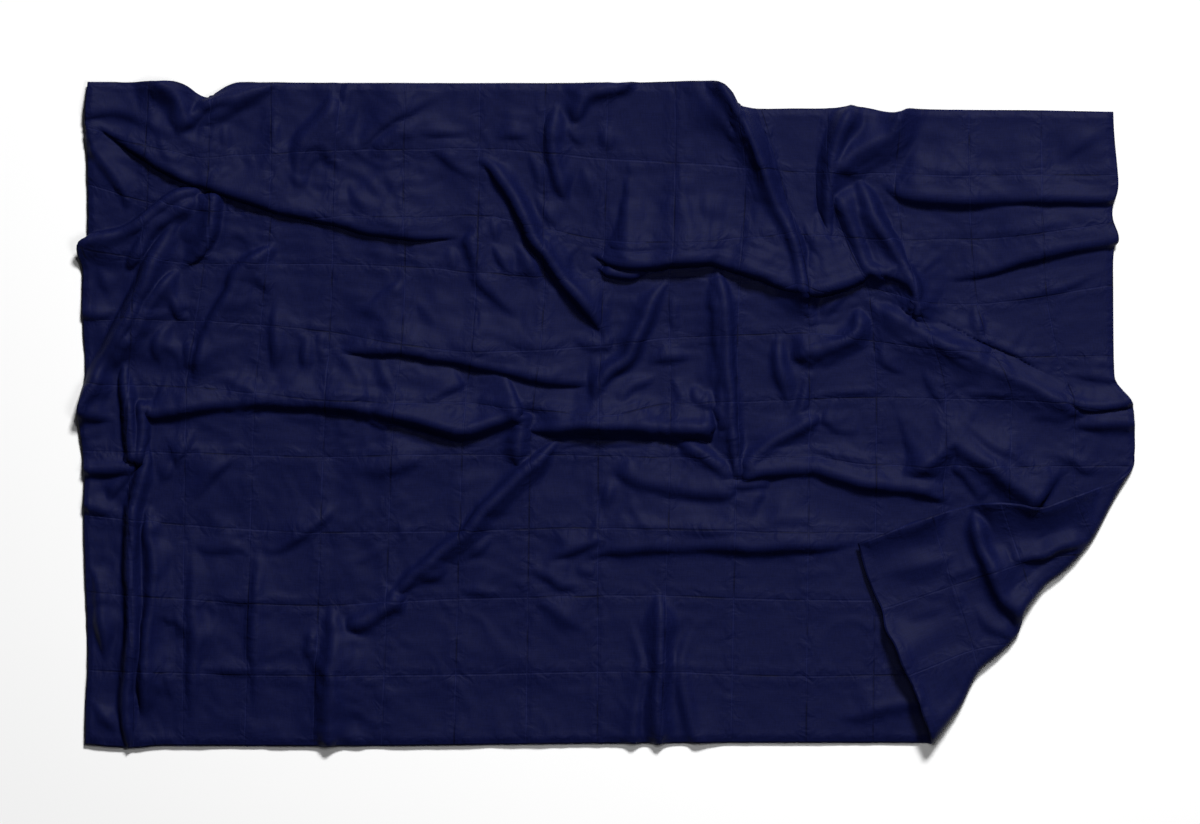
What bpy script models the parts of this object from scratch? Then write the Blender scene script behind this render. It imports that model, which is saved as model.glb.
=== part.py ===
"""Weighted blanket, laid out and rumpled, with one corner turned over onto its top.

One sewn blanket: two cotton faces quilted together in square pockets that hold the weighting beads.
Lengths are in millimetres until the mesh is made. X runs along the blanket, Y across it, Z up.
"""

import bpy
import numpy as np
from mathutils import Vector
from mathutils.geometry import delaunay_2d_cdt

MM = 0.001

# The quilting: square pockets, counted along X and across Y.
POCKETS_ALONG = 16
POCKETS_ACROSS = 10

# Thickness of the blanket at a pocket's middle, on a quilting seam and at the sewn rim.
CORE = 5.6
POCKET_THICK = 6.8
SEAM_THICK = 4.4
RIM_THICK = 3.2
SEAM_REACH = 0.3
RIM_REACH = 0.25

# The turned corner: the outer line of the turn, from the near edge to the right edge.
TURN_START = (575.0, -563.0)
TURN_END = (915.0, -92.0)
TURN_RADIUS = 8.0

# How far out of that line the turn bulges, at distances along it.
TURN_WAVES = {
    "along": (0, 60, 134, 189, 225, 271, 321, 371, 428, 513, 581),
    "out": (0, 1, -10, 3, 8, -6, -4, 10, 16, 6, 0),
}
TURN_WAVE_REACH = 55.0

# X of each seam that runs across the blanket, in rows at a few places across it (0 near, 10 far).
SEAMS_X = {
    0.0: (-910, -824, -741, -632, -512, -393, -267, -141, -16, 93, 216, 348, 464, 572, 694, 816, 939),
    5.0: (-918, -835, -733, -613, -490, -370, -247, -130, -15, 112, 228, 353, 470, 590, 705, 815, 919),
    6.7: (-915, -815, -705, -597, -480, -352, -228, -108, -8, 108, 232, 352, 460, 552, 650, 770, 883),
    8.8: (-906, -800, -692, -583, -475, -355, -222, -110, -2, 120, 244, 305, 388, 505, 632, 757, 888),
    10.0: (-905, -797, -690, -587, -463, -352, -220, -106, 2, 120, 226, 268, 383, 507, 632, 757, 883),
}

# Y of each seam that runs along the blanket, in columns at a few places along it (0 left, 16 right).
SEAMS_Y = {
    0.0: (-576, -447, -310, -175, -65, 50, 165, 287, 400, 500, 579),
    2.0: (-580, -452, -323, -193, -68, 48, 163, 262, 350, 453, 570),
    4.0: (-579, -456, -334, -207, -74, 27, 143, 260, 350, 460, 578),
    6.0: (-575, -455, -322, -205, -70, 20, 110, 248, 345, 463, 577),
    8.0: (-576, -450, -318, -198, -72, -2, 120, 235, 302, 445, 577),
    9.0: (-574, -450, -318, -200, -75, 18, 132, 238, 303, 438, 578),
    10.0: (-574, -455, -322, -203, -75, 20, 138, 235, 310, 430, 572),
    11.0: (-573, -458, -325, -206, -72, 25, 140, 228, 315, 425, 534),
    12.0: (-573, -456, -325, -207, -88, 30, 125, 215, 310, 420, 528),
    13.7: (-575, -454, -326, -207, -90, 26, 105, 190, 303, 418, 529),
    16.0: (-587, -451, -330, -207, -90, 8, 100, 225, 335, 418, 527),
}

# The rim, laid flat: points along the far, near, left and right edges.
FAR_EDGE = {
    "x": (-905, -850, -765, -735, -715, -700, -686, -668, -640, -450, 0, 150, 195, 211, 222, 236,
          275, 360, 430, 500, 512, 522, 545, 720, 883),
    "y": (579, 579, 582, 574, 561, 554, 558, 570, 579, 577, 577, 580, 577, 568, 545, 536,
          533, 533, 537, 526, 528, 534, 531, 530, 527),
}
NEAR_EDGE = {
    "x": (-910, -860, -825, -775, -500, 80, 90, 100, 330, 572, 643, 681, 714, 752, 781, 816, 844, 882, 939),
    "y": (-576, -580, -582, -578, -579, -574, -576, -574, -573, -573, -575, -577, -582, -583, -590, -584,
          -588, -590, -587),
}
LEFT_EDGE = {
    "y": (-576, -510, -440, -165, -110, -70, 0, 30, 60, 200, 250, 275, 290, 306, 350, 400, 460, 530, 579),
    "x": (-910, -909, -905, -912, -911, -914, -920, -912, -910, -915, -914, -921, -923, -907, -905,
          -906, -908, -910, -905),
}
RIGHT_EDGE = {
    "y": (-587, -451, -363, -297, -264, -195, -133, -92, -60, 0, 22, 42, 60, 100, 240, 290, 305, 345,
          378, 400, 500, 527),
    "x": (939, 944, 938, 915, 899, 902, 903, 915, 921, 919, 916, 900, 886, 884, 883, 885, 893, 881,
          885, 890, 884, 883),
}

# The main folds. The steep side is on the right of a fold's path and the gentle one on its left; fade_in
# and fade_out are the lengths over which it rises and dies away, 0 where it runs off the rim or joins
# another fold. Lean is how far its crest goes over towards the steep side.
FOLD_COLUMNS = ("height", "gentle", "steep", "lean", "fade_in", "fade_out", "path")
FOLDS = {
    "far left lip": (14, 80, 12, 7, 20, 30, (
        (-898, 502), (-882, 494), (-850, 477), (-828, 465), (-785, 438), (-747, 419), (-709, 403),
        (-671, 389), (-622, 374), (-573, 359), (-508, 341), (-449, 330), (-399, 320), (-350, 312),
        (-300, 306), (-250, 302))),
    "notch ridge": (19, 30, 42, 0, 30, 0, ((-757, 488), (-768, 515), (-773, 545), (-770, 600))),
    "beside notch": (16, 15, 22, 0, 20, 60, (
        (-758, 486), (-739, 505), (-709, 530), (-682, 545), (-655, 551), (-622, 561), (-590, 571),
        (-560, 578))),
    "left shoulder": (18, 30, 9, 5, 20, 0, (
        (-700, 400), (-747, 384), (-785, 358), (-817, 336), (-845, 320), (-872, 310), (-904, 303),
        (-950, 292))),
    "left diagonal": (22, 24, 20, 6, 8, 0, (
        (-766, 318), (-780, 286), (-795, 258), (-808, 224), (-820, 197), (-832, 170), (-850, 140),
        (-862, 118), (-876, 90), (-890, 62), (-905, 40), (-930, 5))),
    "left of middle": (14, 30, 15, 2, 110, 8, (
        (-770, 215), (-744, 258), (-712, 277), (-699, 297), (-690, 322), (-686, 353), (-684, 386))),
    "left middle long": (21, 30, 18, 4, 8, 10, (
        (-808, 20), (-798, 6), (-780, 5), (-750, 10), (-700, 16), (-650, 20), (-600, 22), (-500, 20),
        (-450, 14), (-400, 7), (-370, 1), (-330, -8), (-290, -20), (-260, -28), (-240, -27),
        (-200, -14), (-146, 5))),
    "middle long": (24, 30, 24, 6, 20, 12, (
        (-142, -37), (-122, -31), (-84, -24), (-46, -21), (0, -21), (52, -22), (106, -25), (160, -27),
        (190, -26))),
    "middle low": (12, 46, 14, 3, 60, 60, (
        (-482, 106), (-440, 109), (-400, 112), (-365, 111), (-300, 102), (-250, 93), (-200, 84),
        (-150, 72), (-100, 62), (-50, 54), (-10, 40))),
    "middle diagonal": (23, 21, 17, 3, 20, 15, (
        (-240, 438), (-208, 434), (-190, 420), (-165, 385), (-140, 332), (-125, 302), (-105, 280),
        (-75, 235), (-35, 185), (-8, 142), (-4, 122))),
    "far drop": (24, 24, 30, 0, 0, 0, (
        (343, 213), (337, 245), (328, 285), (315, 322), (300, 358), (284, 395), (270, 432), (258, 465),
        (243, 500), (225, 532), (200, 580), (190, 610))),
    "far spur": (21, 34, 40, 3, 25, 0, (
        (388, 396), (396, 412), (408, 432), (428, 452), (455, 468), (485, 484), (505, 510), (516, 560),
        (520, 600))),
    "spur side": (12, 26, 28, 0, 60, 60, (
        (440, 560), (420, 520), (402, 480), (392, 445), (388, 405), (384, 360), (388, 310))),
    "spur back left": (19, 34, 24, 0, 40, 0, (
        (390, 400), (410, 366), (428, 326), (441, 292), (452, 262), (474, 246))),
    "spur back right": (24, 42, 27, 0, 0, 50, (
        (536, 190), (541, 215), (532, 243), (512, 272), (490, 305), (466, 345), (448, 385),
        (440, 420))),
    "right far": (15, 55, 17, 2, 70, 0, (
        (462, 410), (500, 388), (540, 379), (590, 376), (650, 375), (700, 376), (760, 378), (850, 377),
        (880, 377), (925, 390))),
    "right second": (13, 46, 13, 3, 170, 0, (
        (555, 240), (600, 235), (625, 239), (650, 246), (700, 262), (750, 276), (800, 288), (885, 303),
        (930, 310))),
    "centre lip": (24, 70, 14, 9, 25, 0, (
        (-35, 275), (0, 262), (30, 258), (60, 260), (100, 263), (150, 266), (183, 270), (220, 258),
        (270, 243), (310, 226), (343, 212), (385, 215), (420, 226), (450, 241), (478, 247))),
    "spur mouth": (25, 40, 24, 0, 0, 0, ((466, 246), (500, 243), (524, 229), (537, 206), (538, 190))),
    "centre upright": (19, 21, 17, 0, 20, 30, (
        (228, -112), (225, -80), (220, -40), (217, 0), (213, 50), (210, 100), (209, 160), (205, 205),
        (196, 240))),
    "centre rise": (14, 19, 19, 0, 30, 40, (
        (-20, 0), (-22, 28), (-12, 58), (10, 80), (35, 98), (48, 125), (62, 158), (82, 202), (108, 236))),
    "centre hook": (15, 19, 27, 0, 25, 25, (
        (318, 96), (345, 105), (380, 115), (408, 127), (430, 142), (438, 162), (440, 190))),
    "hook left": (12, 13, 13, 0, 80, 30, (
        (300, 158), (300, 105), (304, 70), (313, 38), (319, 5))),
    "right long": (17, 40, 34, 0, 40, 20, (
        (860, -5), (815, 6), (770, 30), (740, 47), (690, 72), (640, 95), (590, 118), (540, 142),
        (500, 164), (466, 186), (446, 208))),
    "right end lip": (16, 24, 12, 3, 70, 0, (
        (770, 38), (806, 22), (850, 11), (880, 13), (905, 20), (940, 28))),
    "right rim": (11, 20, 18, 0, 80, 0, ((790, -20), (850, -15), (880, -14), (960, -16))),
    "near diagonal": (18, 9, 26, 0, 60, 20, (
        (-392, -340), (-375, -321), (-345, -286), (-320, -266), (-290, -241), (-265, -221),
        (-240, -199), (-220, -171), (-193, -145), (-166, -118), (-128, -88), (-100, -62), (-76, -38))),
    "star upper": (13, 17, 25, 0, 40, 20, ((115, -42), (160, -65), (190, -85), (228, -120))),
    "star left": (12, 20, 12, 0, 60, 20, (
        (0, -98), (30, -105), (60, -118), (100, -126), (150, -134), (200, -138), (225, -135), (245, -130))),
    "star right": (14, 24, 15, 2, 12, 60, (
        (234, -114), (252, -104), (275, -99), (330, -97), (365, -96), (380, -101), (400, -107), (425, -113),
        (450, -119), (500, -126), (560, -136), (610, -158))),
    "near long": (12, 64, 17, 0, 30, 100, (
        (-48, -250), (-20, -244), (0, -238), (50, -234), (100, -231), (200, -231), (300, -231),
        (380, -228), (450, -224))),
    "left pinch": (18, 12, 14, 2, 60, 10, (
        (-838, 105), (-838, 60), (-833, 20), (-829, -30), (-826, -88))),
    "left pinch second": (17, 11, 12, 1, 10, 8, ((-814, -92), (-812, -50), (-812, -10), (-810, 22))),
    "left upright": (19, 16, 14, 1, 30, 0, (
        (-796, -35), (-804, -90), (-815, -130), (-824, -170), (-827, -210), (-828, -260), (-830, -440),
        (-836, -500), (-836, -620))),
    "left upright east": (17, 34, 15, 0, 60, 60, (
        (-797, -205), (-791, -248), (-790, -290), (-796, -335), (-802, -395), (-806, -450), (-806, -510))),
    "near upright": (18, 22, 28, 0, 60, 0, ((92, -300), (94, -400), (94, -450), (91, -500), (92, -620))),
    "beside turn": (21, 46, 24, 2, 40, 10, (
        (500, -101), (530, -101), (548, -94), (565, -82), (583, -66), (603, -51), (625, -62), (650, -80),
        (680, -100), (705, -119), (730, -137), (758, -158))),
}

# Folds of the turned corner, on top of it.
TURNED_FOLDS = {
    "turned middle": (24, 46, 20, 3, 30, 10, (
        (636, -160), (641, -190), (645, -215), (652, -240), (664, -268), (677, -300), (692, -325),
        (716, -345), (740, -362))),
    "turned rim right": (22, 18, 62, 0, 50, 50, (
        (625, -158), (680, -152), (720, -155), (757, -160), (790, -147), (820, -133), (862, -118))),
    "turned rim left": (15, 20, 40, 0, 30, 50, (
        (428, -226), (460, -213), (500, -201), (530, -193), (565, -175), (605, -164))),
    "turned swell": (10, 26, 34, 0, 30, 30, (
        (470, -284), (500, -272), (540, -262), (580, -254), (622, -250))),
    "turned swell low": (5, 24, 30, 0, 30, 30, ((505, -372), (540, -352), (575, -342), (600, -338))),
    "turned seam": (12, 26, 9, 0, 12, 20, (
        (700, -258), (720, -253), (745, -248), (762, -244), (775, -236), (790, -229), (840, -218))),
    "turned seam left": (7, 20, 8, 0, 12, 0, ((592, -286), (612, -278), (645, -265))),
    "turned crease": (8, 24, 9, 0, 15, 15, ((624, -354), (614, -330), (606, -308), (600, -288))),
    "turned low": (10, 18, 12, 0, 25, 10, ((630, -322), (645, -343), (660, -361), (680, -375), (705, -380))),
    "turned pinch": (9, 12, 9, 0, 8, 10, ((642, -446), (648, -428), (655, -405))),
    "turned hem": (23, 80, 60, 0, 160, 0, (
        (458, -300), (474, -340), (490, -380), (518, -440), (545, -500), (566, -545), (585, -590))),
}

# The crumpled cloth stands a little off the floor, and its folds with it.
FOLD_RISE = 1.12
NARROWEST_SIDE = 18.0
WIDEST_SIDE = 48.0
FOLD_BLEND = 4.0
LIP_BULGE = 0.35
PATH_STEP = 8.0

# Spacing of the mesh's points along folds, and the nearest that two points may come.
FOLD_STEP = 24.0
CLOSEST = 9.2
RIM_STEPS = 6

NAVY = (0.0137, 0.0159, 0.0578, 1.0)


def monotone(at, knots, values):
    """A smooth curve through the knots that never overshoots them."""
    knots = np.asarray(knots, float)
    values = np.asarray(values, float)
    gaps = np.diff(knots)
    slopes = np.diff(values) / gaps
    tangents = np.concatenate([slopes[:1], np.zeros(len(knots) - 2), slopes[-1:]])
    same_way = slopes[:-1] * slopes[1:] > 0
    before = 2 * gaps[1:] + gaps[:-1]
    after = gaps[1:] + 2 * gaps[:-1]
    safe = np.where(same_way, slopes[:-1], 1.0), np.where(same_way, slopes[1:], 1.0)
    mean = (before + after) / (before / safe[0] + after / safe[1])
    tangents[1:-1] = np.where(same_way, mean, 0.0)
    at = np.clip(at, knots[0], knots[-1])
    cell = np.clip(np.searchsorted(knots, at, side="right") - 1, 0, len(gaps) - 1)
    part = (at - knots[cell]) / gaps[cell]
    left, right = values[cell], values[cell + 1]
    left_turn, right_turn = tangents[cell] * gaps[cell], tangents[cell + 1] * gaps[cell]
    rise = right - left
    return left + part * (left_turn + part * (3 * rise - 2 * left_turn - right_turn
                                              + part * (left_turn + right_turn - 2 * rise)))


def lattice(table, across_count):
    """The table's rows carried to every whole pocket line: one row of values for each."""
    stations = sorted(table)
    columns = np.array([table[station] for station in stations], float).T
    lines = np.arange(across_count + 1)
    return np.array([monotone(lines, stations, column) for column in columns])


def between(grid, first, second):
    """Values between the lines of a lattice, straight along the first index and smooth along the second."""
    cell = np.clip(first.astype(int), 0, grid.shape[0] - 2)
    part = first - cell
    lines = np.arange(grid.shape[1])
    smooth = np.array([monotone(second, lines, row) for row in grid])
    picks = np.arange(len(first))
    return smooth[cell, picks] * (1 - part) + smooth[cell + 1, picks] * part


X_LATTICE = lattice(SEAMS_X, POCKETS_ACROSS)
Y_LATTICE = lattice(SEAMS_Y, POCKETS_ALONG)


def edge_pull(pockets_in):
    return np.exp(-(1.6 * pockets_in) ** 2)


def laid_flat(along, across):
    """Where a point of the cloth lies in plan before the corner is turned; both inputs in pockets."""
    x = between(X_LATTICE, along, across)
    y = between(Y_LATTICE, across, along)
    left = monotone(y, LEFT_EDGE["y"], LEFT_EDGE["x"]) - between(X_LATTICE, 0 * along, across)
    last = 0 * along + POCKETS_ALONG
    right = monotone(y, RIGHT_EDGE["y"], RIGHT_EDGE["x"]) - between(X_LATTICE, last, across)
    x = x + left * edge_pull(along) + right * edge_pull(POCKETS_ALONG - along)
    top = 0 * along + POCKETS_ACROSS
    far = monotone(x, FAR_EDGE["x"], FAR_EDGE["y"]) - between(Y_LATTICE, top, along)
    near = monotone(x, NEAR_EDGE["x"], NEAR_EDGE["y"]) - between(Y_LATTICE, 0 * along, along)
    y = y + far * edge_pull(POCKETS_ACROSS - across) + near * edge_pull(across)
    return np.column_stack([x, y])


def cloth_under(plan):
    """The cloth's own coordinates, in pockets, under points given in plan."""
    along = np.interp(plan[:, 0], X_LATTICE[:, 5], np.arange(POCKETS_ALONG + 1))
    across = np.interp(plan[:, 1], Y_LATTICE[:, 6], np.arange(POCKETS_ACROSS + 1))
    for _ in range(40):
        miss = plan - laid_flat(along, across)
        along = np.clip(along + 0.6 * miss[:, 0] / 120, 0, POCKETS_ALONG)
        across = np.clip(across + 0.6 * miss[:, 1] / 120, 0, POCKETS_ACROSS)
    return along, across


def smooth_path(points):
    """A curve through the points, as short straight steps."""
    points = np.asarray(points, float)
    ends = np.vstack([2 * points[0] - points[1], points, 2 * points[-1] - points[-2]])
    route = []
    for before, start, end, after in zip(ends, ends[1:], ends[2:], ends[3:]):
        count = max(2, int(np.linalg.norm(end - start) / PATH_STEP))
        part = (np.arange(count) / count)[:, None]
        route.append(0.5 * (2 * start + (end - before) * part
                            + (2 * before - 5 * start + 4 * end - after) * part**2
                            + (3 * start - before - 3 * end + after) * part**3))
    return np.vstack([*route, points[-1:]])


def nearest_on(route, points):
    """For each point: how far along the route its nearest place is, how far left of it, and the left."""
    starts, steps = route[:-1], np.diff(route, axis=0)
    lengths = np.linalg.norm(steps, axis=1)
    offset = points[:, None] - starts
    part = np.clip((offset * steps).sum(2) / lengths**2, 0, 1)
    apart = np.linalg.norm(offset - part[..., None] * steps, axis=2)
    pick = apart.argmin(1)
    row = np.arange(len(points))
    lefts = np.column_stack([-steps[:, 1], steps[:, 0]]) / lengths[:, None]
    side = np.sign((offset[row, pick] * lefts[pick]).sum(1))
    done = np.concatenate([[0], np.cumsum(lengths)])
    return done[pick] + part[row, pick] * lengths[pick], side * apart[row, pick], lefts[pick]


def bump(across, gentle, steep):
    """1 on a crest, falling smoothly to 0 at the gentle foot on the left and the steep one on the right."""
    reach = np.where(across > 0, gentle, steep)
    return np.where(np.abs(across) < reach, np.cos(0.5 * np.pi * across / reach) ** 2, 0.0)


def fade(distance, length):
    if length == 0:
        return np.ones_like(distance)
    part = np.clip(distance / length, 0, 1)
    return part * part * (3 - 2 * part)


def folds_of(table):
    """The rows of a fold table by column name, with their gentle sides kept to widths the solid can show."""
    folds = [dict(zip(FOLD_COLUMNS, row)) for row in table.values()]
    for fold in folds:
        fold["gentle"] = min(max(fold["gentle"], NARROWEST_SIDE), WIDEST_SIDE)
    return folds


def crest_shift(fold):
    """How far the crest moves over towards the steep side."""
    return fold["lean"] * bump(np.array([LIP_BULGE * fold["steep"]]), fold["gentle"], fold["steep"])[0]


def raise_folds(plan, folds):
    """Height of the folds at each point, and how far each point leans sideways."""
    total = np.zeros(len(plan))
    lean = np.zeros((len(plan), 2))
    for fold in folds_of(folds):
        route = smooth_path(fold["path"])
        along, across, left = nearest_on(route, plan)
        length = np.linalg.norm(np.diff(route, axis=0), axis=1).sum()
        ends = fade(along, fold["fade_in"]) * fade(length - along, fold["fade_out"])
        across = across - crest_shift(fold)
        height = FOLD_RISE * fold["height"] * ends * bump(across, fold["gentle"], fold["steep"])
        bulge = bump(across + LIP_BULGE * fold["steep"], fold["gentle"], fold["steep"])
        share = height**FOLD_BLEND
        total += share
        lean -= (share * fold["lean"] * ends * bulge)[:, None] * left
    return total ** (1 / FOLD_BLEND), lean / np.maximum(total, 1e-6)[:, None]


def turn_frame():
    start, end = np.array(TURN_START), np.array(TURN_END)
    forward = (end - start) / np.linalg.norm(end - start)
    return start, forward, np.array([forward[1], -forward[0]])


def turn_corner(plan):
    """The corner's cloth carried round the turn: its place in plan, the rise, and how far it is turned."""
    start, forward, out = turn_frame()
    beyond = (plan - start) @ out + TURN_RADIUS
    angle = np.pi * np.clip(beyond / (2 * TURN_RADIUS), 0, 1)
    reach = TURN_RADIUS * np.sin(angle) - np.maximum(beyond - 2 * TURN_RADIUS, 0)
    moved = np.where(beyond > 0, reach - beyond, 0.0)
    turned = plan + moved[:, None] * out
    distance = (turned - start) @ out - TURN_RADIUS
    wave = monotone((turned - start) @ forward, TURN_WAVES["along"], TURN_WAVES["out"])
    turned = turned + (wave * np.exp(-(distance / TURN_WAVE_REACH) ** 2))[:, None] * out
    return turned, TURN_RADIUS * (1 - np.cos(angle)), angle / np.pi


def place_cloth(plan):
    """The middle of the cloth's thickness, as points in space."""
    turned, rise, part = turn_corner(plan)
    height, lean = raise_folds(turned, FOLDS)
    top_height, _ = raise_folds(turned, TURNED_FOLDS)
    z = CORE / 2 + height + rise + top_height * part
    return np.column_stack([turned + lean * (1 - part)[:, None], z])


def from_line(pockets):
    return np.abs(pockets - np.round(pockets))


def thickness(along, across):
    """Full in a pocket's middle, drawn in on the seams and thin at the rim."""
    puff = 1.0
    for pockets in (along, across):
        puff = puff * np.sin(0.5 * np.pi * np.clip(from_line(pockets) / SEAM_REACH, 0, 1))
    thick = SEAM_THICK + (POCKET_THICK - SEAM_THICK) * puff
    inward = np.minimum.reduce([along, POCKETS_ALONG - along, across, POCKETS_ACROSS - across])
    rim = np.sin(0.5 * np.pi * np.clip(inward / RIM_REACH, 0, 1))
    return RIM_THICK + (thick - RIM_THICK) * rim


def rim_points():
    """Points round the cloth's four edges, in pockets, anticlockwise."""
    along = np.arange(0, POCKETS_ALONG, 1 / RIM_STEPS)
    across = np.arange(0, POCKETS_ACROSS, 1 / RIM_STEPS)
    near = np.column_stack([along, 0 * along])
    right = np.column_stack([0 * across + POCKETS_ALONG, across])
    far = (POCKETS_ALONG, POCKETS_ACROSS) - near
    left = (0, POCKETS_ACROSS) + right * (0, -1)
    return np.vstack([near, right, far, left])


def fold_points(folds):
    """Rows of points along each fold's crest, its slopes and its two feet, in plan."""
    rows = []
    for fold in folds_of(folds):
        route = smooth_path(fold["path"])
        steps = np.linalg.norm(np.diff(route, axis=0), axis=1)
        done = np.concatenate([[0], np.cumsum(steps)])
        stops = np.linspace(0, done[-1], max(2, int(done[-1] / FOLD_STEP)))
        places = np.column_stack([np.interp(stops, done, axis) for axis in route.T])
        ahead = np.gradient(places, axis=0)
        left = np.column_stack([-ahead[:, 1], ahead[:, 0]]) / np.linalg.norm(ahead, axis=1)[:, None]
        for across in (0, -fold["steep"] / 2, fold["gentle"] / 2, -fold["steep"], fold["gentle"]):
            rows.append(places + (across + crest_shift(fold)) * left)
    return np.vstack(rows)


def turn_points():
    """Rows of points round the turn, in the plan of the cloth laid flat."""
    start, forward, out = turn_frame()
    length = np.linalg.norm(np.subtract(TURN_END, TURN_START))
    stops = np.arange(-20, length + 60, 30.0)
    rows = [start + stops[:, None] * forward + across * out
            for across in TURN_RADIUS * np.array([0.0, -1.0, 1.0, -2.2, 2.2])]
    return np.vstack(rows)


def unturned(points):
    """Points on the turned corner, as they lie in the plan of the cloth laid flat."""
    start, _, out = turn_frame()
    return points - 2 * ((points - start) @ out)[:, None] * out


def quilt_points():
    """Seam crossings, seam middles and pocket insides, in pockets."""
    along, across = np.meshgrid(np.arange(POCKETS_ALONG), np.arange(POCKETS_ACROSS), indexing="ij")
    corners = np.column_stack([along.ravel(), across.ravel()])
    spots = ((0, 0), (0.5, 0), (0, 0.5), (0.27, 0.27), (0.73, 0.27), (0.27, 0.73), (0.73, 0.73))
    return np.vstack([corners + spot for spot in spots])


def spread(fixed, candidates):
    """The fixed points, then each candidate that keeps its distance from those taken before it."""
    taken = np.empty((len(fixed) + len(candidates), 2))
    taken[: len(fixed)] = fixed
    count = len(fixed)
    for point in candidates:
        if ((taken[:count] - point) ** 2).sum(1).min() > CLOSEST**2:
            taken[count] = point
            count += 1
    return taken[:count]


def inside(loop, points):
    """Whether each point lies within the closed loop."""
    ahead = np.roll(loop, -1, axis=0)
    result = np.zeros(len(points), bool)
    for (x0, y0), (x1, y1) in zip(loop, ahead):
        crosses = (y0 > points[:, 1]) != (y1 > points[:, 1])
        if crosses.any():
            at = x0 + (points[:, 1] - y0) / (y1 - y0 if y1 != y0 else 1.0) * (x1 - x0)
            result ^= crosses & (points[:, 0] < at)
    return result


def cloth_mesh():
    """Plan points of the cloth laid flat, the number of them on the rim, and the triangles between."""
    rim = laid_flat(*rim_points().T)
    candidates = np.vstack([turn_points(), fold_points(FOLDS), unturned(fold_points(TURNED_FOLDS)),
                            laid_flat(*quilt_points().T)])
    plan = spread(rim, candidates[inside(rim, candidates)])
    loop = list(range(len(rim)))
    found = delaunay_2d_cdt([Vector(point) for point in plan], [], [loop], 1, 1e-3)
    triangles = np.array([face for face in found[2]])
    return np.array([tuple(point) for point in found[0]]), triangles


def vertex_normals(points, triangles):
    a, b, c = (points[triangles[:, corner]] for corner in range(3))
    faces = np.cross(b - a, c - a)
    normals = np.zeros_like(points)
    for corner in range(3):
        np.add.at(normals, triangles[:, corner], faces)
    return normals / np.linalg.norm(normals, axis=1)[:, None]


def rim_edges(triangles):
    """The directed edges that only one triangle has."""
    edges = np.vstack([triangles[:, [0, 1]], triangles[:, [1, 2]], triangles[:, [2, 0]]])
    known = {tuple(edge) for edge in edges}
    return [edge for edge in edges if (edge[1], edge[0]) not in known]


def make_blanket():
    plan, triangles = cloth_mesh()
    middle = place_cloth(plan)
    normals = vertex_normals(middle, triangles)
    along, across = cloth_under(plan)
    thick = thickness(along, across)
    top = middle + normals * (thick - CORE / 2)[:, None]
    bottom = middle - normals * CORE / 2
    bottom[:, 2] = np.where(middle[:, 2] < CORE / 2 + 0.4, 0.0, np.maximum(bottom[:, 2], 0.0))
    both = np.vstack([top, bottom])
    both[:, :2] -= (both[:, :2].min(0) + both[:, :2].max(0)) / 2
    count = len(plan)
    faces = [tuple(face) for face in triangles.tolist()]
    faces += [(c + count, b + count, a + count) for a, b, c in triangles.tolist()]
    for start, end in rim_edges(triangles):
        faces.append((int(end), int(start), int(start) + count, int(end) + count))
    mesh = bpy.data.meshes.new("blanket")
    mesh.from_pydata((both * MM).tolist(), [], faces)
    mesh.validate()
    blanket = bpy.data.objects.new("blanket", mesh)
    bpy.context.scene.collection.objects.link(blanket)
    mesh.shade_smooth()
    return blanket


def cotton():
    material = bpy.data.materials.new("navy_cotton")
    material.use_nodes = True
    shader = material.node_tree.nodes["Principled BSDF"]
    shader.inputs["Base Color"].default_value = NAVY
    shader.inputs["Roughness"].default_value = 0.75
    shader.inputs["Metallic"].default_value = 0.0
    material.diffuse_color = NAVY
    return material


for old in list(bpy.data.objects):
    bpy.data.objects.remove(old)
make_blanket().data.materials.append(cotton())
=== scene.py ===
# %% [markdown]
# # A rumpled weighted blanket
# The blanket is one big quilted cloth: two cotton faces sewn together in square pockets that hold small
# beads. It lies on a floor in loose folds, and one corner is turned over onto its top. The script loads
# the plain CAD solid first and builds a finer blanket in the same place.

import bpy
import numpy as np
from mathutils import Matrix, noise


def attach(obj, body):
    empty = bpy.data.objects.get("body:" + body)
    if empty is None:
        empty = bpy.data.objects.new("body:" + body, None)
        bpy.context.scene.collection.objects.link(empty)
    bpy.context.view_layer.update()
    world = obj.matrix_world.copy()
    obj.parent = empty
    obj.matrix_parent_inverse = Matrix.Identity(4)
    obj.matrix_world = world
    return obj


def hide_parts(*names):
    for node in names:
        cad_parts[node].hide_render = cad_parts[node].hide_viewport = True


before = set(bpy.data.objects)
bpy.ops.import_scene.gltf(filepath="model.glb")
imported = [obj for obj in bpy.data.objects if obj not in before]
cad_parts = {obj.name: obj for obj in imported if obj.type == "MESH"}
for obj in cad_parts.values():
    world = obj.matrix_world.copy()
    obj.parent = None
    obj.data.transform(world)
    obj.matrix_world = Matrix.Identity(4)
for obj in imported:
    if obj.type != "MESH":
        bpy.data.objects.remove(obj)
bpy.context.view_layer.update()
MM = 0.001

# %% [markdown]
# ## Camera
# The blanket is seen from straight above. A long lens high over the floor keeps the far and near edges at
# the same scale. It could be orthographic, which has no depth at all, but a long lens keeps a little.

# %% Camera over the blanket
VIEW_WIDTH = 2094 * MM
VIEW_CENTRE = (-10.5 * MM, 4.4 * MM)
CAMERA_HEIGHT = 12.0
SENSOR = 36.0
bpy.ops.object.camera_add(location=(*VIEW_CENTRE, CAMERA_HEIGHT), rotation=(0, 0, 0))
camera = bpy.context.object
camera.name = "camera"
camera.data.sensor_width = SENSOR
camera.data.lens = SENSOR * CAMERA_HEIGHT / VIEW_WIDTH
bpy.context.scene.camera = camera
print("lens in mm:", round(camera.data.lens, 1))

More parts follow.
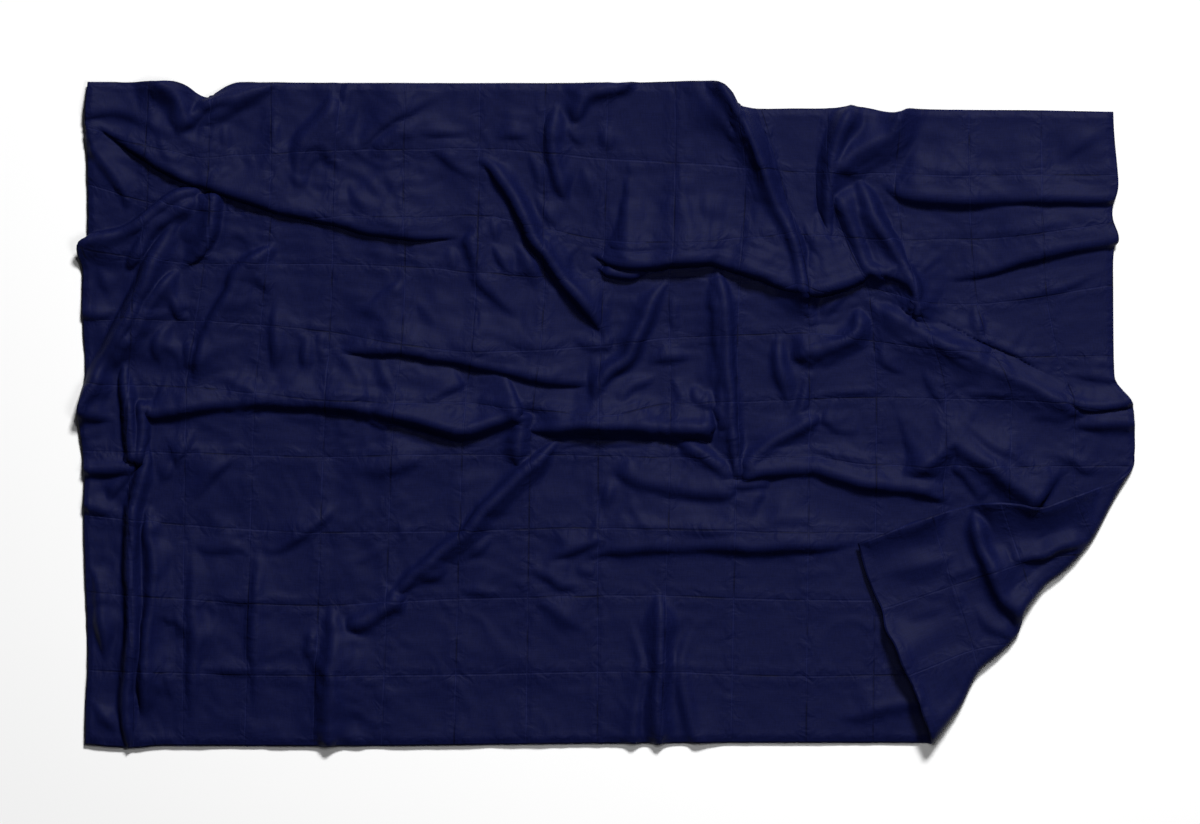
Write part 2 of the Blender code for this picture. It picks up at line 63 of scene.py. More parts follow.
# %% [markdown]
# ## The cloth's own sizes
# The blanket is cut 1.98 m by 1.22 m and quilted in 16 by 10 pockets. Every place on the cloth is named by
# how many pockets it lies from the left end and from the near edge, so a seam is simply a whole number.

# %% Sizes of the cloth
POCKETS_ALONG = 16
POCKETS_ACROSS = 10
CUT_LENGTH = 1981.0
CUT_WIDTH = 1219.0
# The cloth is drawn as one surface, half of CORE above its back. Its thickness changes from place to place.
CORE = 5.6
POCKET_THICK = 7.0
SEAM_THICK = 5.2
RIM_THICK = 2.4
print("one pocket in mm:", round(CUT_LENGTH / POCKETS_ALONG, 1), "by", round(CUT_WIDTH / POCKETS_ACROSS, 1))

# %% [markdown]
# ## Where the seams lie
# Folds swallow cloth, so the seams don't lie evenly: they come closer wherever cloth is hidden in a fold.
# Two short tables say where each seam lies at a few stations, in millimetres from the blanket's middle, and
# smooth curves carry them from station to station. The cloth could also be simulated into place, but then
# its seams and folds would fall by chance instead of where they are wanted.

# %% Seam tables
# X of each seam that runs across, at stations counted in pockets from the near edge.
SEAMS_X = {
    0.0: (-910, -824, -741, -632, -512, -393, -267, -141, -16, 93, 216, 348, 464, 572, 694, 816, 939),
    5.0: (-918, -835, -733, -613, -490, -370, -247, -130, -15, 112, 228, 353, 470, 590, 705, 815, 919),
    6.7: (-915, -815, -705, -597, -480, -352, -228, -108, -8, 108, 232, 352, 460, 552, 650, 770, 883),
    8.8: (-906, -800, -692, -583, -475, -355, -222, -110, -2, 120, 244, 305, 388, 505, 632, 757, 888),
    10.0: (-905, -797, -690, -587, -463, -352, -220, -106, 2, 120, 226, 268, 383, 507, 632, 757, 883),
}
# Y of each seam that runs along, at stations counted in pockets from the left end.
SEAMS_Y = {
    0.0: (-576, -447, -310, -175, -65, 50, 165, 287, 400, 500, 579),
    2.0: (-580, -452, -323, -193, -68, 48, 163, 262, 350, 453, 570),
    4.0: (-579, -456, -334, -207, -74, 27, 143, 260, 350, 460, 578),
    6.0: (-575, -455, -322, -205, -70, 20, 110, 248, 345, 463, 577),
    8.0: (-576, -450, -318, -198, -72, -2, 120, 235, 302, 445, 577),
    9.0: (-574, -450, -318, -200, -75, 18, 132, 238, 303, 438, 578),
    10.0: (-574, -455, -322, -203, -75, 20, 138, 235, 310, 430, 572),
    11.0: (-573, -458, -325, -206, -72, 25, 140, 228, 315, 425, 534),
    12.0: (-573, -456, -325, -207, -88, 30, 125, 215, 310, 420, 528),
    13.7: (-575, -454, -326, -207, -90, 26, 105, 190, 303, 418, 529),
    16.0: (-587, -451, -330, -207, -90, 8, 100, 225, 335, 418, 527),
}
print("seam lines:", len(SEAMS_X[0.0]), "run across and", len(SEAMS_Y[0.0]), "run along")

# %% [markdown]
# ## Where the edges lie
# The four edges aren't straight. They step in where a fold swallows cloth and bulge where one runs out over
# the rim, so each edge has a table of its own. The near right corner is still unturned in them.

# %% Edge tables
FAR_EDGE = {
    "x": (-905, -850, -765, -735, -715, -700, -686, -668, -640, -450, 0, 150, 195, 211, 222, 236,
          275, 360, 430, 500, 512, 522, 545, 720, 883),
    "y": (579, 579, 582, 574, 561, 554, 558, 570, 579, 577, 577, 580, 577, 568, 545, 536,
          533, 533, 537, 526, 528, 534, 531, 530, 527),
}
NEAR_EDGE = {
    "x": (-910, -860, -825, -775, -500, 80, 90, 100, 330, 572, 643, 681, 714, 752, 781, 816, 844, 882, 939),
    "y": (-576, -580, -582, -578, -579, -574, -576, -574, -573, -573, -575, -577, -582, -583, -590, -584,
          -588, -590, -587),
}
LEFT_EDGE = {
    "y": (-576, -510, -440, -165, -110, -70, 0, 30, 60, 200, 250, 275, 290, 306, 350, 400, 460, 530, 579),
    "x": (-910, -909, -905, -912, -911, -914, -920, -912, -910, -915, -914, -921, -923, -907, -905,
          -906, -908, -910, -905),
}
RIGHT_EDGE = {
    "y": (-587, -451, -363, -297, -264, -195, -133, -92, -60, 0, 22, 42, 60, 100, 240, 290, 305, 345,
          378, 400, 500, 527),
    "x": (939, 944, 938, 915, 899, 902, 903, 915, 921, 919, 916, 900, 886, 884, 883, 885, 893, 881,
          885, 890, 884, 883),
}
print("stations on the far and near edges:", len(FAR_EDGE["x"]), "and", len(NEAR_EDGE["x"]))


# %% [markdown]
# ## Curves through the tables
# The tables name only a few places, and smooth curves join them. An ordinary spline would swing past its
# points and make waves in the seams, so here the slopes are held back wherever the values turn round.

# %% Curves through the tables
def monotone(at, knots, values):
    """A smooth curve through the knots that never overshoots them."""
    knots = np.asarray(knots, float)
    values = np.asarray(values, float)
    gaps = np.diff(knots)
    slopes = np.diff(values) / gaps
    tangents = np.concatenate([slopes[:1], np.zeros(len(knots) - 2), slopes[-1:]])
    same_way = slopes[:-1] * slopes[1:] > 0
    before = 2 * gaps[1:] + gaps[:-1]
    after = gaps[1:] + 2 * gaps[:-1]
    safe = np.where(same_way, slopes[:-1], 1.0), np.where(same_way, slopes[1:], 1.0)
    mean = (before + after) / (before / safe[0] + after / safe[1])
    tangents[1:-1] = np.where(same_way, mean, 0.0)
    at = np.clip(at, knots[0], knots[-1])
    cell = np.clip(np.searchsorted(knots, at, side="right") - 1, 0, len(gaps) - 1)
    part = (at - knots[cell]) / gaps[cell]
    left, right = values[cell], values[cell + 1]
    left_turn, right_turn = tangents[cell] * gaps[cell], tangents[cell + 1] * gaps[cell]
    rise = right - left
    return left + part * (left_turn + part * (3 * rise - 2 * left_turn - right_turn
                                              + part * (left_turn + right_turn - 2 * rise)))


def lattice(table, line_count):
    """The table's rows carried to every whole pocket line."""
    stations = sorted(table)
    columns = np.array([table[station] for station in stations], float).T
    return np.array([monotone(np.arange(line_count + 1), stations, column) for column in columns])


def between(grid, first, second):
    """Values between the lines of a lattice."""
    cell = np.clip(first.astype(int), 0, grid.shape[0] - 2)
    part = first - cell
    smooth = np.array([monotone(second, np.arange(grid.shape[1]), row) for row in grid])
    picks = np.arange(len(first))
    return smooth[cell, picks] * (1 - part) + smooth[cell + 1, picks] * part


X_LATTICE = lattice(SEAMS_X, POCKETS_ACROSS)
Y_LATTICE = lattice(SEAMS_Y, POCKETS_ALONG)
print("seam crossings:", X_LATTICE.size)


# %% [markdown]
# ## From the cloth to the floor
# Now any place on the cloth can be carried to the floor. The edge tables pull on the outermost pocket
# alone, and their pull dies away inwards, so the seams behind it stay where their own tables put them.

# %% Carrying a place to the floor
EDGE_HOLD = 1.6


def edge_pull(pockets_in):
    """1 at an edge, dying away within the first pocket."""
    return np.exp(-(EDGE_HOLD * pockets_in) ** 2)


def laid_flat(along, across):
    """Where a place on the cloth lies in plan before the corner is turned."""
    x = between(X_LATTICE, along, across)
    y = between(Y_LATTICE, across, along)
    left = monotone(y, LEFT_EDGE["y"], LEFT_EDGE["x"]) - between(X_LATTICE, 0 * along, across)
    last = 0 * along + POCKETS_ALONG
    right = monotone(y, RIGHT_EDGE["y"], RIGHT_EDGE["x"]) - between(X_LATTICE, last, across)
    x = x + left * edge_pull(along) + right * edge_pull(POCKETS_ALONG - along)
    top = 0 * along + POCKETS_ACROSS
    far = monotone(x, FAR_EDGE["x"], FAR_EDGE["y"]) - between(Y_LATTICE, top, along)
    near = monotone(x, NEAR_EDGE["x"], NEAR_EDGE["y"]) - between(Y_LATTICE, 0 * along, along)
    y = y + far * edge_pull(POCKETS_ACROSS - across) + near * edge_pull(across)
    return np.column_stack([x, y])


cloth_middle = laid_flat(np.array([POCKETS_ALONG / 2]), np.array([POCKETS_ACROSS / 2]))
print("the cloth's middle lies at", cloth_middle.round(1).tolist(), "mm")


# %% [markdown]
# ## The folds
# Cloth that has been pushed about shows long ridges: a gentle back on one side and a steep face on the
# other, and the biggest ones lean so far that their lip hangs over the cloth in front. Each fold is one row
# of a table: its height, the width of its gentle side (left of its path) and steep side (right), how far
# the crest leans over, how long it takes to rise and die away, and the path of its crest. Millimetres.

# %% Main folds
COLUMNS = ("height", "gentle", "steep", "lean", "fade_in", "fade_out", "path")
MAIN_FOLDS = {
    "far left lip": (14, 80, 12, 7, 20, 30, (
        (-898, 502), (-882, 494), (-850, 477), (-828, 465), (-785, 438), (-747, 419), (-709, 403),
        (-671, 389), (-622, 374), (-573, 359), (-508, 341), (-449, 330), (-399, 320), (-350, 312),
        (-300, 306), (-250, 302))),
    "notch ridge": (17, 30, 55, 0, 42, 36, ((-834, 592), (-800, 590), (-765, 588), (-716, 590), (-700, 591))),
    "beside notch": (16, 15, 22, 0, 20, 60, (
        (-758, 486), (-739, 505), (-709, 530), (-682, 545), (-655, 551), (-622, 561), (-590, 571),
        (-560, 578))),
    "left shoulder": (18, 30, 9, 5, 20, 0, (
        (-700, 400), (-747, 384), (-785, 358), (-817, 336), (-845, 320), (-872, 310), (-904, 303),
        (-950, 292))),
    "left diagonal": (22, 24, 20, 6, 40, 0, (
        (-748, 352), (-766, 318), (-780, 286), (-795, 258), (-808, 224), (-820, 197), (-832, 170),
        (-850, 140), (-862, 118), (-876, 90), (-890, 62), (-905, 40), (-930, 5))),
    "left diagonal second": (12, 20, 12, 2, 50, 40, (
        (-742, 262), (-763, 236), (-785, 208), (-803, 178), (-817, 150), (-840, 122), (-858, 92),
        (-872, 62))),
    "left of middle": (14, 30, 15, 2, 120, 8, (
        (-757, 236), (-744, 254), (-712, 277), (-699, 297), (-690, 322), (-686, 353), (-684, 386))),
    "left middle long": (15, 30, 18, 3, 8, 60, (
        (-808, 20), (-798, 6), (-780, 5), (-750, 10), (-700, 16), (-650, 20), (-600, 22), (-500, 20),
        (-450, 14), (-400, 7), (-370, 1), (-330, -8), (-290, -20))),
    "left middle long end": (23, 30, 20, 6, 70, 10, (
        (-450, 14), (-400, 7), (-370, 1), (-330, -8), (-290, -20), (-260, -28), (-240, -27), (-200, -14),
        (-146, 5))),
    "middle long": (24, 30, 24, 6, 20, 12, (
        (-142, -37), (-122, -31), (-84, -24), (-46, -21), (0, -21), (52, -22), (106, -25), (160, -27),
        (190, -26))),
    "middle low": (12, 46, 14, 3, 60, 60, (
        (-482, 106), (-440, 109), (-400, 112), (-365, 111), (-300, 102), (-250, 93), (-200, 84),
        (-150, 72), (-100, 62), (-50, 54), (-10, 40))),
    "middle diagonal": (23, 21, 17, 3, 20, 15, (
        (-240, 438), (-208, 434), (-190, 420), (-165, 385), (-140, 332), (-125, 302), (-105, 280),
        (-75, 235), (-35, 185), (-8, 142), (-4, 122))),
    "far drop": (26, 32, 26, 2, 0, 0, (
        (343, 213), (337, 245), (328, 285), (315, 322), (300, 358), (284, 395), (270, 432), (258, 465),
        (243, 500), (225, 532), (200, 580), (190, 610))),
    "far spur": (21, 34, 40, 3, 25, 0, (
        (388, 396), (396, 412), (408, 432), (428, 452), (455, 468), (485, 484), (505, 510), (516, 560),
        (520, 600))),
    "spur side": (24, 26, 24, 3, 40, 110, (
        (440, 560), (420, 520), (402, 480), (392, 445), (388, 405), (384, 360), (386, 320), (398, 285))),
    "spur back left": (19, 34, 24, 0, 40, 0, (
        (390, 400), (410, 366), (428, 326), (441, 292), (452, 262), (474, 246))),
    "spur back right": (24, 42, 20, 2, 0, 50, (
        (536, 190), (541, 215), (532, 243), (512, 272), (490, 305), (466, 345), (448, 385),
        (440, 420))),
    "right far": (15, 55, 17, 2, 70, 0, (
        (462, 410), (500, 388), (540, 379), (590, 376), (650, 375), (700, 376), (760, 378), (850, 377),
        (880, 377), (925, 390))),
    "right second": (13, 46, 13, 3, 170, 0, (
        (555, 240), (600, 235), (625, 239), (650, 246), (700, 262), (750, 276), (800, 288), (885, 303),
        (930, 310))),
    "centre lip": (24, 70, 14, 9, 25, 0, (
        (-35, 275), (0, 262), (30, 258), (60, 260), (100, 263), (150, 266), (183, 270), (220, 258),
        (270, 243), (310, 226), (343, 212), (385, 215), (420, 226), (450, 241), (478, 247))),
    "spur mouth": (25, 40, 17, 4, 0, 0, ((466, 246), (500, 243), (524, 229), (537, 206), (538, 190))),
    "centre lip low": (13, 13, 10, 4, 25, 40, ((-18, 250), (5, 246), (40, 240), (80, 246))),
    "centre upright": (19, 34, 15, 0, 20, 30, (
        (228, -112), (225, -80), (220, -40), (217, 0), (213, 50), (210, 100), (209, 160), (205, 205),
        (198, 240), (192, 264))),
    "centre upright foot": (19, 12, 13, 0, 8, 70, ((231, -112), (227, -80), (222, -40), (219, 0), (216, 30))),
    "centre upright left": (11, 40, 13, 0, 20, 60, (
        (184, 235), (188, 200), (191, 180), (193, 140), (196, 90), (199, 40), (200, -20))),
    "centre rise": (18, 19, 18, 0, 30, 40, (
        (-20, 0), (-22, 28), (-12, 58), (10, 80), (35, 98), (48, 125), (62, 158), (82, 202), (108, 236))),
    "centre hook": (15, 19, 27, 0, 25, 25, (
        (318, 96), (345, 105), (380, 115), (408, 127), (430, 142), (438, 162), (440, 190))),
    "hook left": (11, 26, 15, 0, 80, 60, (
        (300, 158), (300, 105), (304, 70), (313, 38), (319, 5))),
    "right long": (17, 40, 34, 0, 40, 20, (
        (860, -5), (815, 6), (770, 30), (740, 47), (690, 72), (640, 95), (590, 118), (540, 142),
        (500, 164), (466, 186), (446, 208))),
    "right long edge": (8, 30, 8, 2, 60, 30, (
        (486, 206), (550, 178), (600, 154), (650, 131), (696, 110), (750, 82), (792, 58), (836, 26))),
    "right end lip": (16, 24, 12, 3, 70, 0, (
        (770, 38), (806, 22), (850, 11), (880, 13), (905, 20), (940, 28))),
    "right rim": (11, 20, 18, 0, 80, 0, ((790, -20), (850, -15), (880, -14), (960, -16))),
    "near diagonal": (18, 9, 26, 0, 120, 20, (
        (-392, -340), (-375, -321), (-345, -286), (-320, -266), (-290, -241), (-265, -221),
        (-240, -199), (-220, -171), (-193, -145), (-166, -118), (-128, -88), (-100, -62), (-76, -38))),
    "star upper": (13, 17, 25, 0, 40, 20, ((115, -42), (160, -65), (190, -85), (228, -120))),
    "star left": (11, 42, 24, 0, 60, 20, (
        (0, -98), (30, -105), (60, -118), (100, -126), (150, -134), (200, -138), (225, -135), (245, -130))),
    "star left second": (11, 12, 9, 0, 40, 12, (
        (178, -118), (200, -124), (220, -126), (245, -123), (285, -119))),
    "star right": (14, 24, 15, 2, 12, 60, (
        (234, -114), (252, -104), (275, -99), (330, -97), (365, -96), (380, -101), (400, -107), (425, -113),
        (450, -119), (500, -126), (560, -136), (610, -158))),
    "near long": (12, 64, 17, 0, 30, 100, (
        (-48, -250), (-20, -244), (0, -238), (50, -234), (100, -231), (200, -231), (300, -231),
        (380, -228), (450, -224))),
    "left pinch": (18, 12, 14, 2, 60, 10, (
        (-838, 105), (-838, 60), (-833, 20), (-829, -30), (-826, -88))),
    "left pinch second": (17, 11, 12, 1, 10, 8, ((-814, -92), (-812, -50), (-812, -10), (-810, 22))),
    "left upright": (19, 16, 14, 1, 30, 130, (
        (-796, -35), (-804, -90), (-815, -130), (-824, -170), (-827, -210), (-828, -260), (-830, -440),
        (-836, -500), (-836, -620))),
    "left upright east": (16, 36, 17, 0, 90, 50, (
        (-800, -150), (-797, -205), (-792, -248), (-789, -275), (-792, -300), (-796, -335), (-802, -395),
        (-808, -450), (-808, -500), (-816, -540))),
    "near upright": (18, 22, 28, 0, 60, 80, ((92, -300), (94, -400), (94, -450), (91, -500), (92, -620))),
    "beside turn": (20, 46, 32, 2, 40, 10, (
        (500, -101), (530, -101), (548, -94), (565, -82), (583, -66), (603, -51), (625, -62), (650, -80),
        (680, -100), (705, -119), (730, -137), (758, -158))),
}
print("main folds:", len(MAIN_FOLDS))

# %% [markdown]
# ## Lesser folds and creases
# Between the big ridges the cloth is never quite flat. Puckers run out from the end of a fold, seams draw
# shallow creases, and soft swells cross the pockets. They could be left to chance, but each one answers a
# big fold beside it, so they are rows of the same kind of table, only lower.

# %% Lesser folds and creases
LESSER_FOLDS = {
    "lip line": (8, 45, 12, 0, 0, 12, (
        (-930, 518), (-890, 526), (-850, 527), (-818, 517), (-788, 503), (-750, 490))),
    "notch foot": (7, 12, 18, 0, 20, 20, ((-722, 500), (-680, 522), (-640, 538), (-608, 556))),
    "below lip start": (9, 35, 15, 0, 0, 20, (
        (-905, 490), (-893, 462), (-877, 438), (-857, 408), (-838, 385), (-832, 340))),
    "shoulder second": (12, 20, 12, 3, 20, 30, (
        (-712, 382), (-745, 355), (-790, 325), (-815, 295), (-842, 248))),
    "shoulder third": (6, 18, 12, 0, 20, 30, ((-705, 360), (-722, 338), (-750, 312), (-768, 285))),
    "far soft drop": (12, 44, 18, 0, 20, 110, (
        (-478, 565), (-484, 525), (-504, 500), (-524, 478), (-534, 455), (-538, 430), (-537, 402),
        (-545, 372))),
    "far seam 1": (7, 22, 10, 0, 20, 30, ((-668, 515), (-664, 480), (-660, 450))),
    "far seam 2": (5, 16, 8, 0, 20, 30, ((-578, 540), (-580, 430))),
    "far seam 3": (5, 18, 8, 0, 0, 30, ((-454, 600), (-455, 540), (-459, 480))),
    "far soft sweep": (10, 40, 15, 0, 25, 30, (
        (-470, 448), (-425, 472), (-400, 495), (-372, 518), (-343, 531), (-308, 546), (-262, 562))),
    "far sweep foot": (5, 17, 26, 0, 25, 40, (
        (-415, 420), (-408, 452), (-385, 480), (-350, 497), (-300, 515), (-250, 532))),
    "far crease 1": (8, 36, 12, 0, 20, 20, ((-328, 468), (-285, 452), (-258, 430), (-222, 408))),
    "far crease 2": (7, 30, 11, 0, 20, 20, ((-455, 412), (-432, 378), (-404, 352))),
    "far crease 3": (4, 22, 12, 0, 20, 20, ((-390, 425), (-372, 400), (-362, 378))),
    "far pucker 1": (5, 22, 7, 0, 25, 25, ((-365, 489), (-310, 491), (-225, 481))),
    "far pucker 2": (5, 18, 7, 0, 15, 15, ((-200, 478), (-165, 488), (-130, 478))),
    "beside diagonal 1": (8, 20, 11, 0, 18, 18, ((-192, 292), (-194, 352))),
    "beside diagonal 2": (9, 24, 14, 0, 25, 25, ((-116, 205), (-126, 250), (-163, 305))),
    "beside diagonal 3": (7, 20, 11, 0, 20, 20, ((-138, 462), (-118, 420), (-119, 388))),
    "beside diagonal 4": (5, 26, 12, 0, 20, 30, ((-130, 385), (-92, 335), (-80, 318))),
    "far middle drop": (13, 26, 14, 0, 50, 40, (
        (-84, 548), (-94, 490), (-95, 458), (-92, 430), (-84, 405), (-64, 368))),
    "far middle 2": (8, 16, 11, 0, 15, 15, ((-55, 560), (-50, 530), (-50, 498))),
    "far middle 3": (8, 18, 11, 0, 15, 20, ((-74, 518), (-70, 497), (-55, 485), (-30, 462))),
    "far middle arch": (13, 22, 14, 0, 15, 0, (
        (-56, 500), (-48, 530), (-38, 550), (-12, 560), (28, 572), (50, 600))),
    "far middle 4": (5, 16, 9, 0, 15, 15, ((3, 510), (-1, 480), (3, 450))),
    "far middle 5": (5, 30, 16, 0, 20, 20, ((-20, 372), (-46, 440))),
    "drop foot": (10, 13, 13, 0, 20, 20, ((340, 345), (355, 310), (380, 268))),
    "drop back": (8, 45, 20, 0, 30, 0, ((238, 474), (215, 490), (185, 530), (160, 560), (150, 600))),
    "drop pinch": (8, 14, 9, 0, 20, 10, ((200, 486), (228, 482), (254, 486))),
    "drop side": (5, 40, 14, 0, 20, 30, ((150, 362), (185, 358), (210, 352))),
    "right soft far": (5, 34, 14, 0, 30, 30, ((545, 430), (590, 424), (660, 422))),
    "right corner soft": (6, 30, 20, 0, 20, 20, ((780, 432), (835, 482), (880, 486))),
    "right crease 1": (6, 40, 7, 0, 40, 30, (
        (635, 310), (700, 316), (757, 323), (790, 333), (830, 342))),
    "right crease 2": (6, 30, 8, 0, 20, 30, (
        (655, 200), (680, 196), (725, 204), (780, 215), (815, 228), (845, 240), (890, 246))),
    "right crease 3": (6, 22, 9, 0, 20, 20, ((656, 120), (650, 160), (641, 202))),
    "right crease 4": (5, 26, 9, 0, 20, 0, ((790, 68), (840, 66), (920, 58))),
    "left crease 1": (9, 30, 13, 0, 20, 20, (
        (-748, 160), (-768, 146), (-780, 128), (-783, 105), (-774, 78))),
    "left sweep": (14, 50, 12, 0, 25, 20, (
        (-572, 303), (-600, 280), (-630, 262), (-648, 243), (-655, 220), (-664, 200), (-682, 168),
        (-706, 120), (-714, 70), (-714, 38))),
    "left crease 2": (10, 42, 13, 0, 20, 20, ((-576, 220), (-576, 180), (-577, 110), (-584, 55))),
    "left crease 3": (7, 26, 10, 0, 20, 20, ((-526, 152), (-525, 110), (-522, 55))),
    "left crease 4": (6, 18, 9, 0, 12, 12, ((-495, 142), (-500, 115), (-488, 88))),
    "left crease 5": (7, 22, 9, 0, 12, 12, ((-730, 128), (-726, 78))),
    "left crease 6": (7, 24, 12, 0, 15, 15, ((-884, 262), (-868, 200))),
    "left crease 7": (6, 16, 9, 0, 0, 20, ((-945, 174), (-880, 172), (-845, 186))),
    "left crease 8": (5, 18, 9, 0, 15, 15, ((-768, 232), (-745, 170), (-715, 176))),
    "long fold back": (10, 34, 11, 2, 20, 12, (
        (-800, 56), (-783, 52), (-740, 54), (-700, 57), (-665, 56), (-640, 46), (-612, 38), (-540, 34),
        (-464, 30), (-400, 29), (-325, 26), (-300, 32), (-281, 43), (-250, 52))),
    "long fold back 2": (8, 30, 9, 1, 20, 30, ((-265, 28), (-200, 19), (-130, 12), (-50, 5))),
    "long fold branch": (8, 13, 10, 0, 15, 15, ((-425, -2), (-368, -30))),
    "long fold curl": (13, 14, 24, 0, 8, 20, ((-146, 4), (-147, -20), (-150, -45), (-156, -92))),
    "long fold hook": (10, 12, 10, 0, 12, 10, (
        (160, 50), (154, 30), (164, 21), (184, 14), (198, -6), (203, -30))),
    "middle crease 1": (7, 20, 10, 0, 15, 15, ((-262, 245), (-270, 282), (-275, 300))),
    "middle crease 2": (8, 36, 12, 0, 10, 30, (
        (-250, 308), (-240, 298), (-228, 262), (-221, 234), (-187, 198), (-138, 150))),
    "middle crease 3": (9, 24, 11, 0, 15, 20, ((-206, 306), (-188, 275), (-174, 248), (-170, 222))),
    "middle crease 4": (6, 24, 11, 0, 20, 20, (
        (-345, 240), (-368, 222), (-392, 205), (-408, 192), (-450, 190))),
    "middle crease 5": (5, 26, 12, 0, 15, 15, ((-340, 200), (-312, 170), (-296, 152))),
    "middle crease 6": (7, 18, 9, 0, 20, 12, ((-64, 134), (-30, 122), (12, 120))),
    "middle crease 7": (5, 30, 9, 0, 20, 20, ((-415, 150), (-375, 135), (-355, 133))),
    "middle crease 8": (6, 40, 12, 0, 30, 30, ((-290, 125), (-240, 112), (-180, 108))),
    "middle crease 9": (5, 50, 18, 0, 30, 30, ((-220, 148), (-160, 128), (-110, 112), (-50, 108))),
    "centre pucker 1": (8, 18, 10, 0, 15, 20, ((70, 78), (82, 92), (100, 97), (160, 100))),
    "centre pucker 2": (7, 16, 9, 0, 12, 15, ((22, 22), (42, 47), (72, 60), (92, 72))),
    "centre pucker 3": (6, 16, 9, 0, 12, 12, ((114, 62), (124, 44), (136, 14))),
    "centre pucker 4": (8, 14, 7, 0, 12, 12, ((2, 8), (25, 10), (60, 17))),
    "centre pucker 5": (4, 14, 7, 0, 12, 12, ((116, 205), (116, 145))),
    "hook inside": (7, 14, 11, 0, 20, 20, ((352, 88), (345, 30), (332, 0), (300, -8))),
    "hook above": (8, 26, 13, 0, 15, 20, ((376, 158), (383, 182), (402, 198), (430, 214))),
    "hook seam": (5, 16, 7, 0, 12, 12, ((350, 200), (357, 150))),
    "hook right": (7, 26, 11, 0, 20, 20, ((478, 135), (483, 98), (496, 82), (525, 68))),
    "hook low": (4, 28, 6, 0, 30, 30, ((340, 28), (380, 34), (430, 39), (505, 40))),
    "right soft 1": (6, 24, 18, 0, 30, 40, ((500, 135), (545, 125), (620, 118), (685, 105))),
    "right soft 3": (9, 30, 10, 0, 20, 15, (
        (548, 92), (556, 66), (570, 44), (585, 23), (596, 1), (601, -16))),
    "right soft 4": (9, 30, 11, 0, 20, 20, (
        (604, 14), (614, -2), (630, -19), (650, -37), (675, -55), (700, -67), (722, -83), (738, -97),
        (748, -120))),
    "right soft 5": (6, 26, 9, 0, 20, 20, ((603, 50), (640, 38), (690, 36), (750, 33))),
    "right soft 6": (4, 24, 9, 0, 20, 20, ((725, -8), (770, -4), (805, -15))),
    "right soft 7": (8, 24, 16, 0, 15, 15, ((766, -150), (768, -125), (764, -98), (752, -82))),
    "right soft 8": (6, 30, 12, 0, 20, 20, ((742, -74), (780, -70), (812, -82), (835, -98), (880, -97))),
    "near branch 1": (8, 18, 12, 0, 15, 15, ((-250, -252), (-192, -212))),
    "near branch 2": (8, 18, 12, 0, 15, 15, ((-338, -297), (-270, -268))),
    "near tail": (11, 28, 18, 0, 30, 20, ((-460, -376), (-418, -358), (-392, -342), (-350, -316))),
    "near soft 1": (8, 36, 18, 0, 30, 30, (
        (-610, -250), (-566, -232), (-537, -212), (-489, -179), (-462, -140))),
    "near soft 2": (7, 30, 16, 0, 25, 25, ((-728, -162), (-690, -106), (-640, -68))),
    "near soft 3": (6, 24, 13, 0, 15, 15, ((-778, -124), (-754, -74))),
    "near soft 4": (7, 26, 14, 0, 20, 20, ((-749, -108), (-742, -66), (-708, -14))),
    "near soft 5": (7, 42, 24, 0, 40, 40, ((-462, -102), (-382, -90), (-300, -76))),
    "left rim ridge": (12, 36, 13, 0, 70, 90, (
        (-905, -262), (-892, -286), (-885, -320), (-883, -360), (-875, -400), (-868, -445))),
    "left rim 3": (9, 28, 14, 0, 20, 20, ((-902, -492), (-886, -515), (-868, -538), (-850, -560))),
    "left rim 4": (12, 14, 15, 1, 0, 10, ((-940, -95), (-880, -94), (-822, -95))),
    "left rim 5": (8, 18, 10, 0, 0, 20, ((-950, 2), (-905, -2), (-850, -10))),
    "left rim 6": (9, 16, 12, 0, 15, 12, ((-876, -160), (-858, -131), (-828, -104))),
    "left rim 7": (6, 16, 10, 0, 0, 15, ((-940, -158), (-900, -160), (-842, -174))),
    "star hook": (9, 14, 11, 0, 15, 10, ((243, -194), (254, -155), (278, -138))),
    "star far": (12, 26, 20, 0, 12, 40, (
        (236, -98), (246, -86), (262, -70), (280, -55), (300, -40), (325, -28), (345, -18), (365, -10),
        (380, -11))),
    "star far end": (4, 30, 10, 0, 8, 12, ((372, -8), (386, -14), (396, -25), (415, -31), (445, -30))),
    "star crease": (7, 24, 11, 0, 25, 30, (
        (335, -62), (352, -60), (375, -66), (400, -73), (450, -82), (472, -88), (510, -84))),
    "near long tail": (10, 22, 12, 0, 25, 12, ((-118, -258), (-56, -236), (-8, -214))),
    "near long hook": (8, 12, 9, 0, 10, 12, ((-55, -274), (-18, -278))),
    "near soft 6": (10, 28, 15, 0, 25, 25, ((-146, -266), (-97, -287), (-80, -300), (-30, -297))),
    "near crease 1": (5, 18, 8, 0, 20, 20, ((6, -96), (1, -140), (-1, -184))),
    "near crease 2": (5, 16, 8, 0, 15, 15, ((-13, -162), (-18, -200), (-26, -240))),
    "near pucker 1": (4, 22, 8, 0, 20, 20, ((-270, -306), (-175, -311))),
    "near pucker 2": (8, 26, 12, 0, 25, 25, (
        (-10, -191), (60, -196), (100, -199), (150, -202), (200, -206), (250, -203), (290, -200))),
    "near pucker 3": (6, 22, 10, 0, 20, 20, ((245, -200), (275, -188), (325, -184), (380, -190))),
    "beside turn 2": (9, 22, 9, 0, 12, 10, ((598, -92), (615, -97), (630, -111), (642, -127), (657, -150))),
    "under turn": (7, 30, 20, 0, 40, 10, ((385, -533), (440, -525), (475, -512), (500, -506), (552, -504))),
    "upright left": (7, 34, 16, 0, 0, 30, (
        (45, -620), (52, -500), (60, -440), (46, -380), (30, -328))),
    "upright right": (8, 34, 16, 0, 30, 0, (
        (168, -338), (138, -400), (130, -440), (138, -500), (165, -620))),
    "near left upright": (16, 50, 26, 0, 130, 80, (
